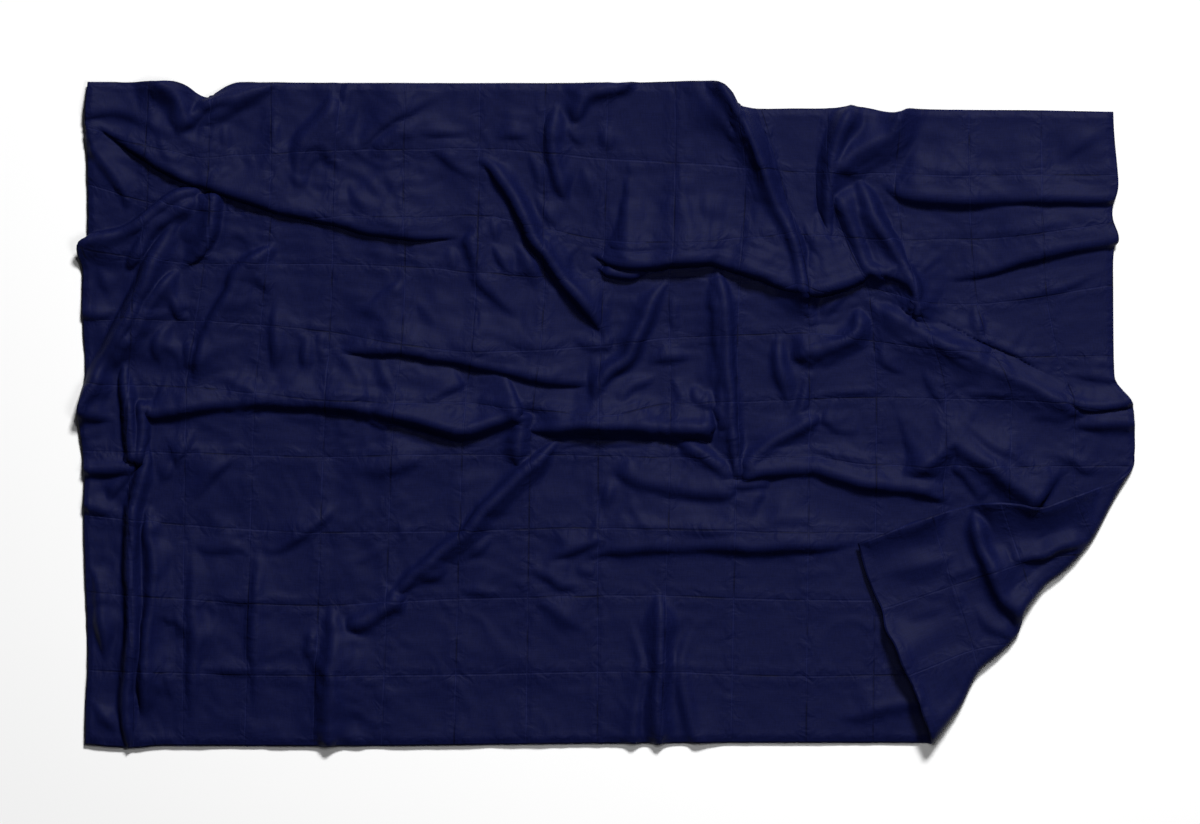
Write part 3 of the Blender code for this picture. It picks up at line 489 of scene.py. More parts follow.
        (-478, -305), (-478, -330), (-477, -400), (-482, -450), (-484, -520), (-484, -620))),
    "near left branch": (7, 26, 10, 0, 15, 10, ((-516, -370), (-514, -400), (-520, -425))),
    "near soft 7": (10, 40, 16, 0, 0, 15, ((-737, -372), (-715, -382), (-685, -408))),
    "near soft 8": (6, 36, 20, 0, 30, 30, ((-132, -316), (-24, -387))),
    "near soft 9": (6, 26, 12, 0, 20, 20, ((-768, -438), (-764, -468), (-756, -500))),
    "near crease 3": (7, 24, 7, 0, 20, 30, ((-738, -232), (-700, -236), (-650, -234), (-612, -240))),
    "near crease 4": (7, 24, 7, 0, 20, 30, ((-730, -322), (-640, -328), (-560, -328), (-500, -330))),
    "near crease 5": (7, 22, 7, 0, 20, 20, ((-735, -448), (-640, -450), (-560, -449), (-525, -452))),
    "near seam 1": (10, 36, 17, 0, 60, 40, (
        (-722, -180), (-722, -245), (-722, -320), (-720, -400), (-722, -470), (-722, -570))),
    "near seam 2": (10, 40, 18, 0, 60, 40, (
        (-607, -200), (-608, -250), (-610, -320), (-612, -400), (-612, -470), (-614, -560))),
    "notch hollow": (16, 14, 42, 0, 20, 26, (
        (-806, 584), (-770, 572), (-744, 550), (-734, 520), (-744, 486))),
}
print("lesser folds:", len(LESSER_FOLDS))

# %% [markdown]
# ## Folds on the turned corner
# The turned corner lies over the folds beneath it with its back up, and has folds of its own. They are
# kept apart, because only the cloth that is turned over gets them.

# %% Folds on the turned corner
TURNED_FOLDS = {
    "turned middle": (24, 46, 20, 3, 30, 10, (
        (636, -160), (641, -190), (645, -215), (652, -240), (664, -268), (677, -300), (692, -325),
        (716, -345), (740, -362))),
    "turned rim right": (22, 18, 62, 0, 50, 50, (
        (625, -158), (680, -152), (720, -155), (757, -160), (790, -147), (820, -133), (862, -118))),
    "turned rim left": (15, 20, 40, 0, 30, 50, (
        (428, -226), (460, -213), (500, -201), (530, -193), (565, -175), (605, -164))),
    "turned swell": (10, 26, 34, 0, 30, 30, (
        (470, -284), (500, -272), (540, -262), (580, -254), (622, -250))),
    "turned swell low": (5, 24, 30, 0, 30, 30, ((505, -372), (540, -352), (575, -342), (600, -338))),
    "turned seam": (12, 26, 9, 0, 12, 20, (
        (700, -258), (720, -253), (745, -248), (762, -244), (775, -236), (790, -229), (840, -218))),
    "turned seam left": (7, 20, 8, 0, 12, 0, ((592, -286), (612, -278), (645, -265))),
    "turned crease": (8, 24, 9, 0, 15, 15, ((624, -354), (614, -330), (606, -308), (600, -288))),
    "turned low": (10, 18, 12, 0, 25, 10, ((630, -322), (645, -343), (660, -361), (680, -375), (705, -380))),
    "turned pinch": (9, 12, 9, 0, 8, 10, ((642, -446), (648, -428), (655, -405))),
    "turned hem": (23, 80, 60, 0, 160, 0, (
        (458, -300), (474, -340), (490, -380), (518, -440), (545, -500), (566, -545), (585, -590))),
}
print("folds on the turned corner:", len(TURNED_FOLDS))


# %% [markdown]
# ## Measuring from a fold
# Every point of the cloth has to know how far along a fold it lies, and how far to the left or right of
# the crest. The crest's path is cut into short straight steps first, since the distance to a straight step
# is easy to work out. Points far from the fold are left out, which saves most of the time.

# %% Measuring from a fold's path
PATH_STEP = 8.0


def smooth_path(points):
    """A curve through the points, as short straight steps."""
    points = np.asarray(points, float)
    ends = np.vstack([2 * points[0] - points[1], points, 2 * points[-1] - points[-2]])
    route = []
    for before, start, end, after in zip(ends, ends[1:], ends[2:], ends[3:]):
        count = max(2, int(np.linalg.norm(end - start) / PATH_STEP))
        part = (np.arange(count) / count)[:, None]
        route.append(0.5 * (2 * start + (end - before) * part
                            + (2 * before - 5 * start + 4 * end - after) * part**2
                            + (3 * start - before - 3 * end + after) * part**3))
    return np.vstack([*route, points[-1:]])


def nearest_on(route, points):
    """For each point: how far along the route it is, how far to the left of it, and which way is left."""
    starts, steps = route[:-1], np.diff(route, axis=0)
    lengths = np.linalg.norm(steps, axis=1)
    offset = points[:, None] - starts
    part = np.clip((offset * steps).sum(2) / lengths**2, 0, 1)
    apart = np.linalg.norm(offset - part[..., None] * steps, axis=2)
    pick = apart.argmin(1)
    row = np.arange(len(points))
    lefts = np.column_stack([-steps[:, 1], steps[:, 0]]) / lengths[:, None]
    side = np.sign((offset[row, pick] * lefts[pick]).sum(1))
    done = np.concatenate([[0], np.cumsum(lengths)])
    return done[pick] + part[row, pick] * lengths[pick], side * apart[row, pick], lefts[pick]


def near_fold(plan, route, reach):
    """The points inside a box that holds the fold."""
    low, high = route.min(0) - reach, route.max(0) + reach
    return np.flatnonzero(((plan > low) & (plan < high)).all(1))


def route_length(route):
    """How long a route is, in millimetres."""
    return np.linalg.norm(np.diff(route, axis=0), axis=1).sum()


lengths = {name: route_length(smooth_path(row[-1])) for name, row in MAIN_FOLDS.items()}
print("longest fold:", max(lengths, key=lengths.get), round(max(lengths.values())), "mm")


# %% [markdown]
# ## The shape of one fold
# Seen end on, a fold has a gentle back with a long soft foot, and a short steep face. Seen along its crest
# it swells, narrows and wanders a little, as nothing in cloth is quite even. A plain half circle swept
# along the path would look like a pipe, so the back and face are two curves, and slow noise bends them.

# %% The shape of one fold
BACK_FALL = 2.4
BACK_BEND = 1.25
FACE_FALL = 2.2
FACE_BEND = 1.6
UNEVEN_LENGTH = 60.0
UNEVEN_GAIN = 1.6
SEED_SPREAD = 7.3
OFF_GRID = 0.5
# Each fold has three wobbles of its own, one for its width, one for its path and one for its height.
WOBBLES = 3


def bump(across, gentle, steep):
    """1 on a crest, falling away gently on the left with a long soft foot, and steeply on the right."""
    back = np.exp(-BACK_FALL * (np.maximum(across, 0) / gentle) ** BACK_BEND)
    face = np.exp(-FACE_FALL * (np.maximum(-across, 0) / steep) ** FACE_BEND)
    return back * face


def uneven(along, seed):
    """A smooth chance wobble along a fold, between about -1 and 1."""
    places = np.arange(0, along.max() + 2 * PATH_STEP, PATH_STEP)
    wobble = [noise.noise((place / UNEVEN_LENGTH, SEED_SPREAD * seed, OFF_GRID)) for place in places]
    return UNEVEN_GAIN * np.interp(along, places, wobble)


def fade(distance, length):
    """0 at a fold's end and 1 from the given length on, with no corner at either."""
    if length == 0:
        return np.ones_like(distance)
    part = np.clip(distance / length, 0, 1)
    return part * part * (3 - 2 * part)


print("height halfway down the back and the face:", bump(0.5, 1, 1).round(2), bump(-0.5, 1, 1).round(2))


# %% [markdown]
# ## How high, how long and how wide
# Thick cloth can't make a low fold that is also short and sharp: it would look like a cord under the
# blanket. So a low fold is kept in proportion to its width and length and fades over its whole length,
# while a high one keeps its full height until close to its ends. Every fold narrows as it fades.

# %% Height and ends of a fold
# Folds under this height in millimetres are low ones.
LOW_FOLD = 11
MAIN_SCALE = 1.12
LESSER_SCALE = 0.95
LOW_PER_WIDTH = 0.72
LOW_PER_LENGTH = 0.07
# Shares of a fold's length over which its ends fade at least, the longest such end, and the fade in the
# table that still counts as an abrupt end.
LOW_TAPER = 0.5
MAIN_TAPER = 0.2
LONGEST_TAPER = 90.0
ABRUPT = 12.0


def crest_height(fold, length):
    """A fold's height on its crest, in millimetres."""
    if fold["height"] >= LOW_FOLD:
        return fold["height"] * MAIN_SCALE
    return min(fold["height"] * LESSER_SCALE, LOW_PER_WIDTH * fold["steep"], LOW_PER_LENGTH * length)


def fold_ends(fold, along, length):
    """0 at both ends of a fold and 1 along its middle. An end that the table makes abrupt stays so."""
    low = fold["height"] < LOW_FOLD
    taper = LOW_TAPER * length if low else min(MAIN_TAPER * length, LONGEST_TAPER)
    fades = [max(fold[end], taper) if fold[end] > ABRUPT else fold[end] for end in ("fade_in", "fade_out")]
    return fade(along, fades[0]) * fade(length - along, fades[1])


tallest = max(MAIN_FOLDS, key=lambda name: MAIN_FOLDS[name][0])
print("tallest main fold:", tallest, round(MAIN_FOLDS[tallest][0] * MAIN_SCALE, 1), "mm")

# %% Width of a fold
MAIN_WIDER = 1.05
LOW_WIDER = 1.2
BROADER_ALONG = 0.8
NARROW_END = 0.15
UNEVEN_WIDTH = 0.45


def fold_sides(fold, ends, along, left, seed):
    """Widths of the gentle and the steep side. Folds that run along the blanket are broader behind."""
    narrow = NARROW_END + (1 - NARROW_END) * ends
    wider = LOW_WIDER if fold["height"] < LOW_FOLD else MAIN_WIDER
    gentle = fold["gentle"] * wider * narrow * (1 + UNEVEN_WIDTH * uneven(along, WOBBLES * seed))
    return gentle * (1 + BROADER_ALONG * left[:, 1] ** 2), fold["steep"] * narrow


widths = [row[1] + row[2] for row in MAIN_FOLDS.values()]
print("widths of the main folds in mm:", min(widths), "to", max(widths))


# %% [markdown]
# ## Raising the folds
# Where two folds meet, the cloth doesn't stack their heights: it follows the higher one and rounds the
# corner between them. A power mean does that, where a sum would make a peak. The crest of a leaning fold
# is pushed sideways over its steep face, and a fine ripple along each fold keeps its sides from being bare.

# %% Raising the folds
FOLD_BLEND = 4.0
# How many widths away a fold is still felt.
FOLD_REACH = 4
LIP_BULGE = 0.35
UNEVEN_HEIGHT = 0.25
UNEVEN_PATH = 2.5
RIPPLE_WIDTH = 13.0
RIPPLE_LENGTH = 90.0
RIPPLE_HEIGHT = 0.045
RIPPLE_REACH = 1.5


def raise_folds(plan, folds):
    """Height of the folds at each point, and how far each point leans sideways."""
    total = np.zeros(len(plan))
    lean = np.zeros((len(plan), 2))
    fine = np.zeros(len(plan))
    for seed, row in enumerate(folds.values()):
        fold = dict(zip(COLUMNS, row))
        route = smooth_path(fold["path"])
        near = near_fold(plan, route, FOLD_REACH * (fold["gentle"] + fold["steep"]) + fold["lean"])
        if len(near) == 0:
            continue
        along, across, left = nearest_on(route, plan[near])
        length = route_length(route)
        ends = fold_ends(fold, along, length)
        gentle, steep = fold_sides(fold, ends, along, left, seed)
        across = across + UNEVEN_PATH * uneven(along, WOBBLES * seed + 1)
        across = across - fold["lean"] * bump(LIP_BULGE * steep, gentle, steep)
        swell = 1 + UNEVEN_HEIGHT * uneven(along, WOBBLES * seed + 2)
        tall = crest_height(fold, length)
        height = tall * ends * swell * bump(across, gentle, steep)
        bulge = bump(across + LIP_BULGE * steep, gentle, steep)
        ripples = [noise.noise((x, y, seed)) for x, y in zip(across / RIPPLE_WIDTH, along / RIPPLE_LENGTH)]
        beside = np.exp(-(across / (RIPPLE_REACH * gentle)) ** 2)
        fine[near] += RIPPLE_HEIGHT * tall * ends * beside * ripples
        share = height**FOLD_BLEND
        total[near] += share
        lean[near] -= (share * fold["lean"] * ends * bulge)[:, None] * left
    return total ** (1 / FOLD_BLEND) + fine, lean / np.maximum(total, 1.0)[:, None]


crest_place = np.array([MAIN_FOLDS[tallest][-1][4]], float)
print("height at a place on it:", raise_folds(crest_place, MAIN_FOLDS)[0].round(1).tolist(), "mm")


# %% [markdown]
# ## Drawing cloth into the folds
# A fold takes in more cloth than it covers on the floor. Points of the mesh are drawn a little towards each
# main fold first, so that its steep face has enough of them to stay round. Subdividing the mesh there would
# do too, but it would break the even grid that the settling needs later.

# %% Gathering points towards the folds
GATHER = 0.10
GATHER_REACH = 0.75
GATHER_BOX = 3
FACE_MIDDLE = 0.5


def gather(plan, folds):
    """The points drawn a little towards the middle of each fold's steep face."""
    moved = np.zeros_like(plan)
    for row in folds.values():
        fold = dict(zip(COLUMNS, row))
        route = smooth_path(fold["path"])
        reach = GATHER_REACH * (fold["gentle"] + fold["steep"])
        near = near_fold(plan, route, GATHER_BOX * reach)
        along, across, left = nearest_on(route, plan[near])
        length = route_length(route)
        ends = fade(along, fold["fade_in"]) * fade(length - along, fold["fade_out"])
        across = across - fold["lean"] + FACE_MIDDLE * fold["steep"]
        moved[near] -= (GATHER * ends * across * np.exp(-(across / reach) ** 2))[:, None] * left
    return plan + moved


drawn = gather(crest_place, MAIN_FOLDS) - crest_place
print("the same place is drawn by", round(float(np.linalg.norm(drawn)), 2), "mm")


# %% [markdown]
# ## The turned corner
# The near right corner is picked up and laid over onto the blanket, so its back shows. In plan that is a
# mirror image over the line of the turn, with a round roll of cloth along the line itself.

# %% Turning the corner
TURN_START = (575.0, -563.0)
TURN_END = (915.0, -92.0)
TURN_RADIUS = 8.0
# The roll isn't straight: how far it bulges outwards, at places along it, and how far in that is felt.
TURN_WAVES = {
    "along": (0, 60, 134, 189, 225, 271, 321, 371, 428, 513, 581),
    "out": (0, 1, -10, 3, 8, -6, -4, 10, 16, 6, 0),
}
TURN_WAVE_REACH = 55.0


def turn_frame():
    """The start of the turn's line, the way along it, and the way out from the blanket."""
    start, end = np.array(TURN_START), np.array(TURN_END)
    forward = (end - start) / np.linalg.norm(end - start)
    return start, forward, np.array([forward[1], -forward[0]])


def turn_corner(plan):
    """The corner's cloth carried round the turn: its place in plan, the rise, and how far it is turned."""
    start, forward, out = turn_frame()
    beyond = (plan - start) @ out + TURN_RADIUS
    angle = np.pi * np.clip(beyond / (2 * TURN_RADIUS), 0, 1)
    reach = TURN_RADIUS * np.sin(angle) - np.maximum(beyond - 2 * TURN_RADIUS, 0)
    moved = np.where(beyond > 0, reach - beyond, 0.0)
    turned = plan + moved[:, None] * out
    distance = (turned - start) @ out - TURN_RADIUS
    wave = monotone((turned - start) @ forward, TURN_WAVES["along"], TURN_WAVES["out"])
    turned = turned + (wave * np.exp(-(distance / TURN_WAVE_REACH) ** 2))[:, None] * out
    return turned, TURN_RADIUS * (1 - np.cos(angle)), angle / np.pi


turned_length = np.linalg.norm(np.subtract(TURN_END, TURN_START))
print("length of the turn in mm:", turned_length.round(1))


# %% [markdown]
# ## Crumples
# A blanket that has been washed, folded and shaken out keeps small soft dents all over. Noise gives them
# in three sizes, bent by slower noise so that they don't line up. Cloth makes ridges between its dents
# and not round hills, so a ridge stands wherever the noise passes through zero. Thin curving creases come
# and go between them.

# %% Crumples and thin creases
# Size, height, how much the shape is bent, and a seed. Thin creases have a width too, as a share of size.
CRUMPLES = ((190.0, 5.5, 0.6, 1.0), (90.0, 4.0, 0.8, 5.0), (42.0, 2.0, 0.9, 9.0))
CREASES = ((120.0, 3.0, 0.9, 27.0, 0.08), (70.0, 2.6, 0.9, 33.0, 0.10))
CRUMPLE_PACE = 0.6
CRUMPLE_SQUEEZE = 1.3
CRUMPLE_DEPTH = 1.6
CRUMPLE_SOFT = 0.02
CREASE_PACE = 0.9
PATCH_PACE = 0.7
PATCH_GAIN = 2.5
NEXT_SEED = 40


def bent_noise(x, y, bend, seed, pace, squeeze):
    """Noise at a place that two slower noises have pushed aside."""
    aside, ahead = (noise.noise((pace * x, pace * y, seed + shift)) for shift in (0, NEXT_SEED))
    return noise.noise((x + bend * aside, squeeze * y + bend * ahead, seed + 2 * NEXT_SEED))


def crumple(plan, size, bend, seed):
    """Hollows with soft ridges between them, up to nearly 1."""
    heights = [bent_noise(x, y, bend, seed, CRUMPLE_PACE, CRUMPLE_SQUEEZE) for x, y in plan / size]
    return 1 - np.sqrt(np.array(heights) ** 2 + CRUMPLE_SOFT) * CRUMPLE_DEPTH


def creases(plan, size, bend, seed, width):
    """Thin curving ridges that come and go over the cloth."""
    places = plan / size
    heights = np.array([bent_noise(x, y, bend, seed, CREASE_PACE, 1.0) for x, y in places])
    third = seed + 3 * NEXT_SEED
    patches = np.array([noise.noise((PATCH_PACE * x, PATCH_PACE * y, third)) for x, y in places])
    return np.exp(-(heights / width) ** 2) * np.clip(PATCH_GAIN * patches, 0, 1)


print("crumples in mm:", [row[1] for row in CRUMPLES], "creases in mm:", [row[1] for row in CREASES])

# %% [markdown]
# ## Where the crumples show
# Beside the big folds the cloth is worked more than on the quiet parts between them, and the left half of
# this blanket was shaken out less than the right half. So the crumples get a share that follows both.

# %% Sharing out the crumples
QUIET_MIDDLE = 0.6
WORKED_HEIGHT = 6
# A place along the blanket, and its share of crumples.
BUSIER_LEFT = ((-600, 1.25), (-150, 1.15), (150, 0.65))


def crumples(plan, folds_height):
    """The cloth's own small unevenness, stronger beside the folds than on the quiet flat parts."""
    total = np.zeros(len(plan))
    for size, height, bend, seed in CRUMPLES:
        total += height * crumple(plan, size, bend, seed)
    for size, height, bend, seed, width in CREASES:
        total += height * creases(plan, size, bend, seed, width)
    busy = np.interp(plan[:, 0], *zip(*BUSIER_LEFT))
    worked = np.clip(folds_height / WORKED_HEIGHT, 0, 1)
    return total * busy * (QUIET_MIDDLE + (1 - QUIET_MIDDLE) * worked)


print("crumple height at that place:", crumples(crest_place, np.array([0.0])).round(1).tolist(), "mm")


# %% [markdown]
# ## All of it together
# A place on the cloth is carried to the floor, drawn towards the folds, turned over if it belongs to the
# corner, and raised. A lesser fold that rides on a main one counts for less, and on the turned corner the
# folds beneath still lift the cloth, its own are added, and nothing leans.

# %% Placing the cloth
RIDING_LOSS = 0.25
FULL_RIDE = 20
LESSER_LEAN = 0.5
TURNED_CALM = 0.5


def place_cloth(along, across):
    """The middle of the cloth's thickness, as points in space."""
    flat = laid_flat(along, across)
    plan = gather(flat, MAIN_FOLDS)
    turned, rise, part = turn_corner(plan)
    main_height, lean = raise_folds(turned, MAIN_FOLDS)
    lesser_height, lesser_lean = raise_folds(turned, LESSER_FOLDS)
    height = main_height + lesser_height * (1 - RIDING_LOSS * np.clip(main_height / FULL_RIDE, 0, 1))
    lean = lean + LESSER_LEAN * lesser_lean
    top_height, _ = raise_folds(turned, TURNED_FOLDS)
    wrinkles = crumples(turned, height)
    z = CORE / 2 + height + rise + top_height * part + wrinkles * (1 - TURNED_CALM * part)
    return np.column_stack([turned + lean * (1 - part)[:, None], z])


corner = place_cloth(np.array([POCKETS_ALONG - 0.1]), np.array([0.1]))
print("the turned corner's tip lies at", corner.round().tolist(), "mm")


# %% [markdown]
# ## The flat cloth
# The cloth starts as a flat grid, as it came off the sewing table, and Solidify gives it a back face and an
# edge. The grid's own UV map stays with it, so the weave and the seams follow the cloth into its folds.

# %% A flat sheet with two faces
GRID_ALONG = 356
GRID_ACROSS = 219
bpy.ops.object.select_all(action="DESELECT")
bpy.ops.mesh.primitive_grid_add(x_subdivisions=GRID_ALONG, y_subdivisions=GRID_ACROSS, size=1)
blanket = bpy.context.object
blanket.name = "quilted_blanket"
blanket.data.uv_layers[0].name = "cloth"
wall = blanket.modifiers.new("two faces", "SOLIDIFY")
wall.thickness = CORE * MM
wall.offset = -1
bpy.ops.object.modifier_apply(modifier=wall.name)
print("points:", len(blanket.data.vertices))


# %% [markdown]
# ## Laying it in its folds
# Every point's place on the cloth is read from the flat grid, the rows nearest the rim are drawn close
# together for the sewn edge, and the point is then carried to its place in the folds.

# %% Cloth coordinates
EDGE_ROWS = (0.0, 2.4, 5.2, 10.0)


def rows_on_cloth(share, cells, cut, pockets):
    """Turns a share of the grid into pockets, with the rows at both rims at the edge seam's distances."""
    row = share * cells
    spacing = (cut - 2 * EDGE_ROWS[-1]) / (cells - 2 * (len(EDGE_ROWS) - 1))
    inner = EDGE_ROWS[-1] + (row - len(EDGE_ROWS) + 1) * spacing
    low = np.interp(row, range(len(EDGE_ROWS)), EDGE_ROWS)
    high = cut - np.interp(cells - row, range(len(EDGE_ROWS)), EDGE_ROWS)
    place = np.where(row < len(EDGE_ROWS) - 1, low, np.where(cells - row < len(EDGE_ROWS) - 1, high, inner))
    return place / cut * pockets


print("first rows from the left end in mm:", EDGE_ROWS)


# %% Reading the grid and laying it
def read_points(mesh):
    """A mesh's points as rows of x, y and z."""
    points = np.empty(len(mesh.vertices) * 3, np.float32)
    mesh.vertices.foreach_get("co", points)
    return points.reshape(-1, 3)


def write_points(mesh, points):
    """Gives a mesh's points their new places."""
    mesh.vertices.foreach_set("co", points.astype(np.float32).ravel())
    mesh.update()


points = read_points(blanket.data).astype(float)
front = points[:, 2] > -CORE / 2 * MM
along = rows_on_cloth(points[:, 0] + 0.5, GRID_ALONG, CUT_LENGTH, POCKETS_ALONG)
across = rows_on_cloth(points[:, 1] + 0.5, GRID_ACROSS, CUT_WIDTH, POCKETS_ACROSS)
middle = place_cloth(along, across)
middle[:, :2] -= (middle[:, :2].min(0) + middle[:, :2].max(0)) / 2
print("laid size in mm:", np.ptp(middle, axis=0).round(1))

# %% [markdown]
# ## The cloth's own map
# Threads and seams have to follow the cloth wherever it goes, so the material needs to know where on the
# cloth each place is. The UV map says it: 0 to 1 from the left end to the right, and from near to far.
# Unwrapping the finished shape would only guess at it, and here it is known.

# %% The cloth's UV map
corners = np.empty(len(blanket.data.loops), np.int32)
blanket.data.loops.foreach_get("vertex_index", corners)
cloth_uv = np.column_stack([along / POCKETS_ALONG, across / POCKETS_ACROSS])[corners]
blanket.data.uv_layers["cloth"].uv.foreach_set("vector", cloth_uv.astype(np.float32).ravel())
print("UV corners:", len(corners))


# %% [markdown]
# ## Letting the cloth settle
# The folds so far are drawn, not fallen. A short relaxation lets the cloth find its own shape near them:
# it keeps every thread's length, spreads sharp bends, sinks a little, and can't go through the floor.
# Blender's own cloth simulation would do more, but it lets the folds slide away from their places.

# %% The threads and their lengths
SPARE_CLOTH = 0.008
EVEN_REACH = 3


def evened(lengths, axis, reach=EVEN_REACH):
    """Lengths averaged with their neighbours along one direction, so threads spread evenly over a fold."""
    weights = np.exp(-0.5 * (np.arange(-2 * reach, 2 * reach + 1) / reach) ** 2)
    weights /= weights.sum()
    padding = [(0, 0), (0, 0)]
    padding[axis] = (2 * reach, 2 * reach)
    padded = np.pad(lengths, padding, mode="edge")
    return sum(weight * np.take(padded, range(shift, shift + lengths.shape[axis]), axis=axis)
               for shift, weight in enumerate(weights))


def thread_pairs(shape):
    """Index pairs of neighbouring points in separate sets, so that no point is in a set twice."""
    columns, rows = shape
    index = np.arange(columns * rows).reshape(shape)
    sets = []
    for ends in ((index[:-1], index[1:]), (index[:, :-1], index[:, 1:])):
        axis = 0 if ends[0].shape[0] < columns else 1
        for start in (0, 1):
            pick = [slice(None), slice(None)]
            pick[axis] = slice(start, None, 2)
            sets.append((ends[0][tuple(pick)].ravel(), ends[1][tuple(pick)].ravel()))
    for ends in ((index[:-1, :-1], index[1:, 1:]), (index[1:, :-1], index[:-1, 1:])):
        for start in (0, 1):
            sets.append((ends[0][start::2].ravel(), ends[1][start::2].ravel()))
    return sets


def rest_lengths(grid):
    """The settled length of each set of pairs, from the drawn shape with threads evened out."""
    along_rest = evened(np.linalg.norm(grid[1:] - grid[:-1], axis=2), 0)
    across_rest = evened(np.linalg.norm(grid[:, 1:] - grid[:, :-1], axis=2), 1)
    falling = evened(evened(np.linalg.norm(grid[1:, 1:] - grid[:-1, :-1], axis=2), 0), 1)
    rising = evened(evened(np.linalg.norm(grid[:-1, 1:] - grid[1:, :-1], axis=2), 0), 1)
    rests = [along_rest[0::2], along_rest[1::2], across_rest[:, 0::2], across_rest[:, 1::2],
             falling[0::2], falling[1::2], rising[0::2], rising[1::2]]
    return [(1 + SPARE_CLOTH) * rest.ravel() for rest in rests]


print("each thread is", f"{SPARE_CLOTH:.1%}", "longer than it was drawn")

# %% Bending and pulling
STIFFNESS = 0.003
# The first sets of pairs are threads, which hardly stretch. The others lie slanting, and give far more.
THREAD_SETS = 4
THREAD_PULL = 0.5
SLANT_PULL = 0.1
TINY = 1e-6


def unbend(sheet, axis):
    """Spreads the bends of a grid of points along one direction."""
    inner = [slice(None)] * 3
    inner[axis] = slice(1, -1)
    curve = np.zeros_like(sheet)
    curve[tuple(inner)] = np.diff(sheet, 2, axis=axis)
    push = np.zeros_like(sheet)
    push[tuple(inner)] = np.diff(curve, 2, axis=axis)
    return sheet - STIFFNESS * push


def pull_threads(place, pairs, rests):
    """Moves the two points of every pair towards the distance they should be apart."""
    for order, ((first, second), rest) in enumerate(zip(pairs, rests)):
        gap = place[second] - place[first]
        length = np.linalg.norm(gap, axis=1)
        strength = THREAD_PULL if order < THREAD_SETS else SLANT_PULL
        move = (strength * (1 - rest / np.maximum(length, TINY)))[:, None] * gap
        place[first] += move
        place[second] -= move


spike = np.zeros((5, 1, 3))
spike[2, 0, 2] = 10
print("one step lowers a 10 mm spike by", (10 - unbend(spike, 0)[2, 0, 2]).round(2), "mm")

# %% The relaxation
SETTLE_STEPS = 60
# In each step a point is drawn back towards its drawn place by these shares, and sinks by SINK in mm.
HOLD_PLAN = 0.03
HOLD_HEIGHT = 0.05
SINK = 0.003


def settle(grid, steps):
    """Relaxes a grid of points, in millimetres, and returns it."""
    target = grid.reshape(-1, 3).copy()
    place = target.copy()
    pairs, rests = thread_pairs(grid.shape[:2]), rest_lengths(grid)
    grip = np.array([HOLD_PLAN, HOLD_PLAN, HOLD_HEIGHT])
    for _ in range(steps):
        sheet = place.reshape(grid.shape)
        for axis in (0, 1):
            sheet = unbend(sheet, axis)
        place = sheet.reshape(-1, 3)
        place = place + grip * (target - place)
        place[:, 2] -= SINK
        pull_threads(place, pairs, rests)
        place[:, 2] = np.maximum(place[:, 2], CORE / 2)
    return place.reshape(grid.shape)


print("steps:", SETTLE_STEPS)

# %% [markdown]
# ## Settling both faces as one
# The front and the back face of the grid still lie in the same place, so one sheet of points is settled and
# both faces are given its shape. That halves the work, and the faces can't pass through each other.

# %% Settling both faces as one
def grid_order(chosen):
    """The chosen points' numbers, column by column over the cloth."""
    index = np.flatnonzero(chosen)
    return index[np.lexsort((across[index].round(6), along[index].round(6)))]


front_order, back_order = grid_order(front), grid_order(~front)
drawn_grid = middle[front_order].reshape(GRID_ALONG + 1, GRID_ACROSS + 1, 3)
settled = settle(drawn_grid, SETTLE_STEPS).reshape(-1, 3)
print("moved on average by", np.linalg.norm(settled - middle[front_order], axis=1).mean().round(2), "mm")
middle[front_order] = middle[back_order] = settled
print("settled size in mm:", np.ptp(middle, axis=0).round(1))

# %% [markdown]
# ## Thickness
# The beads push the two faces apart in a pocket's middle, the stitches draw them together on the seams, and
# the rim is sewn thin. Sculpting 160 pockets by hand would never be even, so one formula gives the
# thickness at every place on the cloth, from its distance to the nearest seams.

# %% Thickness of pockets, seams and rim
SEAM_REACH = 0.10
RIM_REACH = 0.12
PUFF_ROUND = 0.6


def from_line(pockets):
    """How far the nearest seam is, in pockets."""
    return np.abs(pockets - np.round(pockets))


def pockets_inward(along, across):
    """How many pockets a place lies in from the nearest edge."""
    return np.minimum.reduce([along, POCKETS_ALONG - along, across, POCKETS_ACROSS - across])


def thickness(along, across):
    """Full in a pocket's middle, drawn in on the seams and thin at the rim."""
    puff = 1.0
    for pockets in (along, across):
        puff = puff * np.sin(0.5 * np.pi * np.clip(from_line(pockets) / SEAM_REACH, 0, 1)) ** PUFF_ROUND
    thick = SEAM_THICK + (POCKET_THICK - SEAM_THICK) * puff
    rim = np.sin(0.5 * np.pi * np.clip(pockets_inward(along, across) / RIM_REACH, 0, 1))
    return RIM_THICK + (thick - RIM_THICK) * rim


thick = thickness(along, across)
print("thinnest and thickest in mm:", thick.min().round(1), thick.max().round(1))

# %% [markdown]
# ## Moving the faces apart
# Each point of the top face now moves out along the cloth's normal until the thickness is right. The back
# face moves the other way, and is laid flat wherever the cloth rests on the floor.

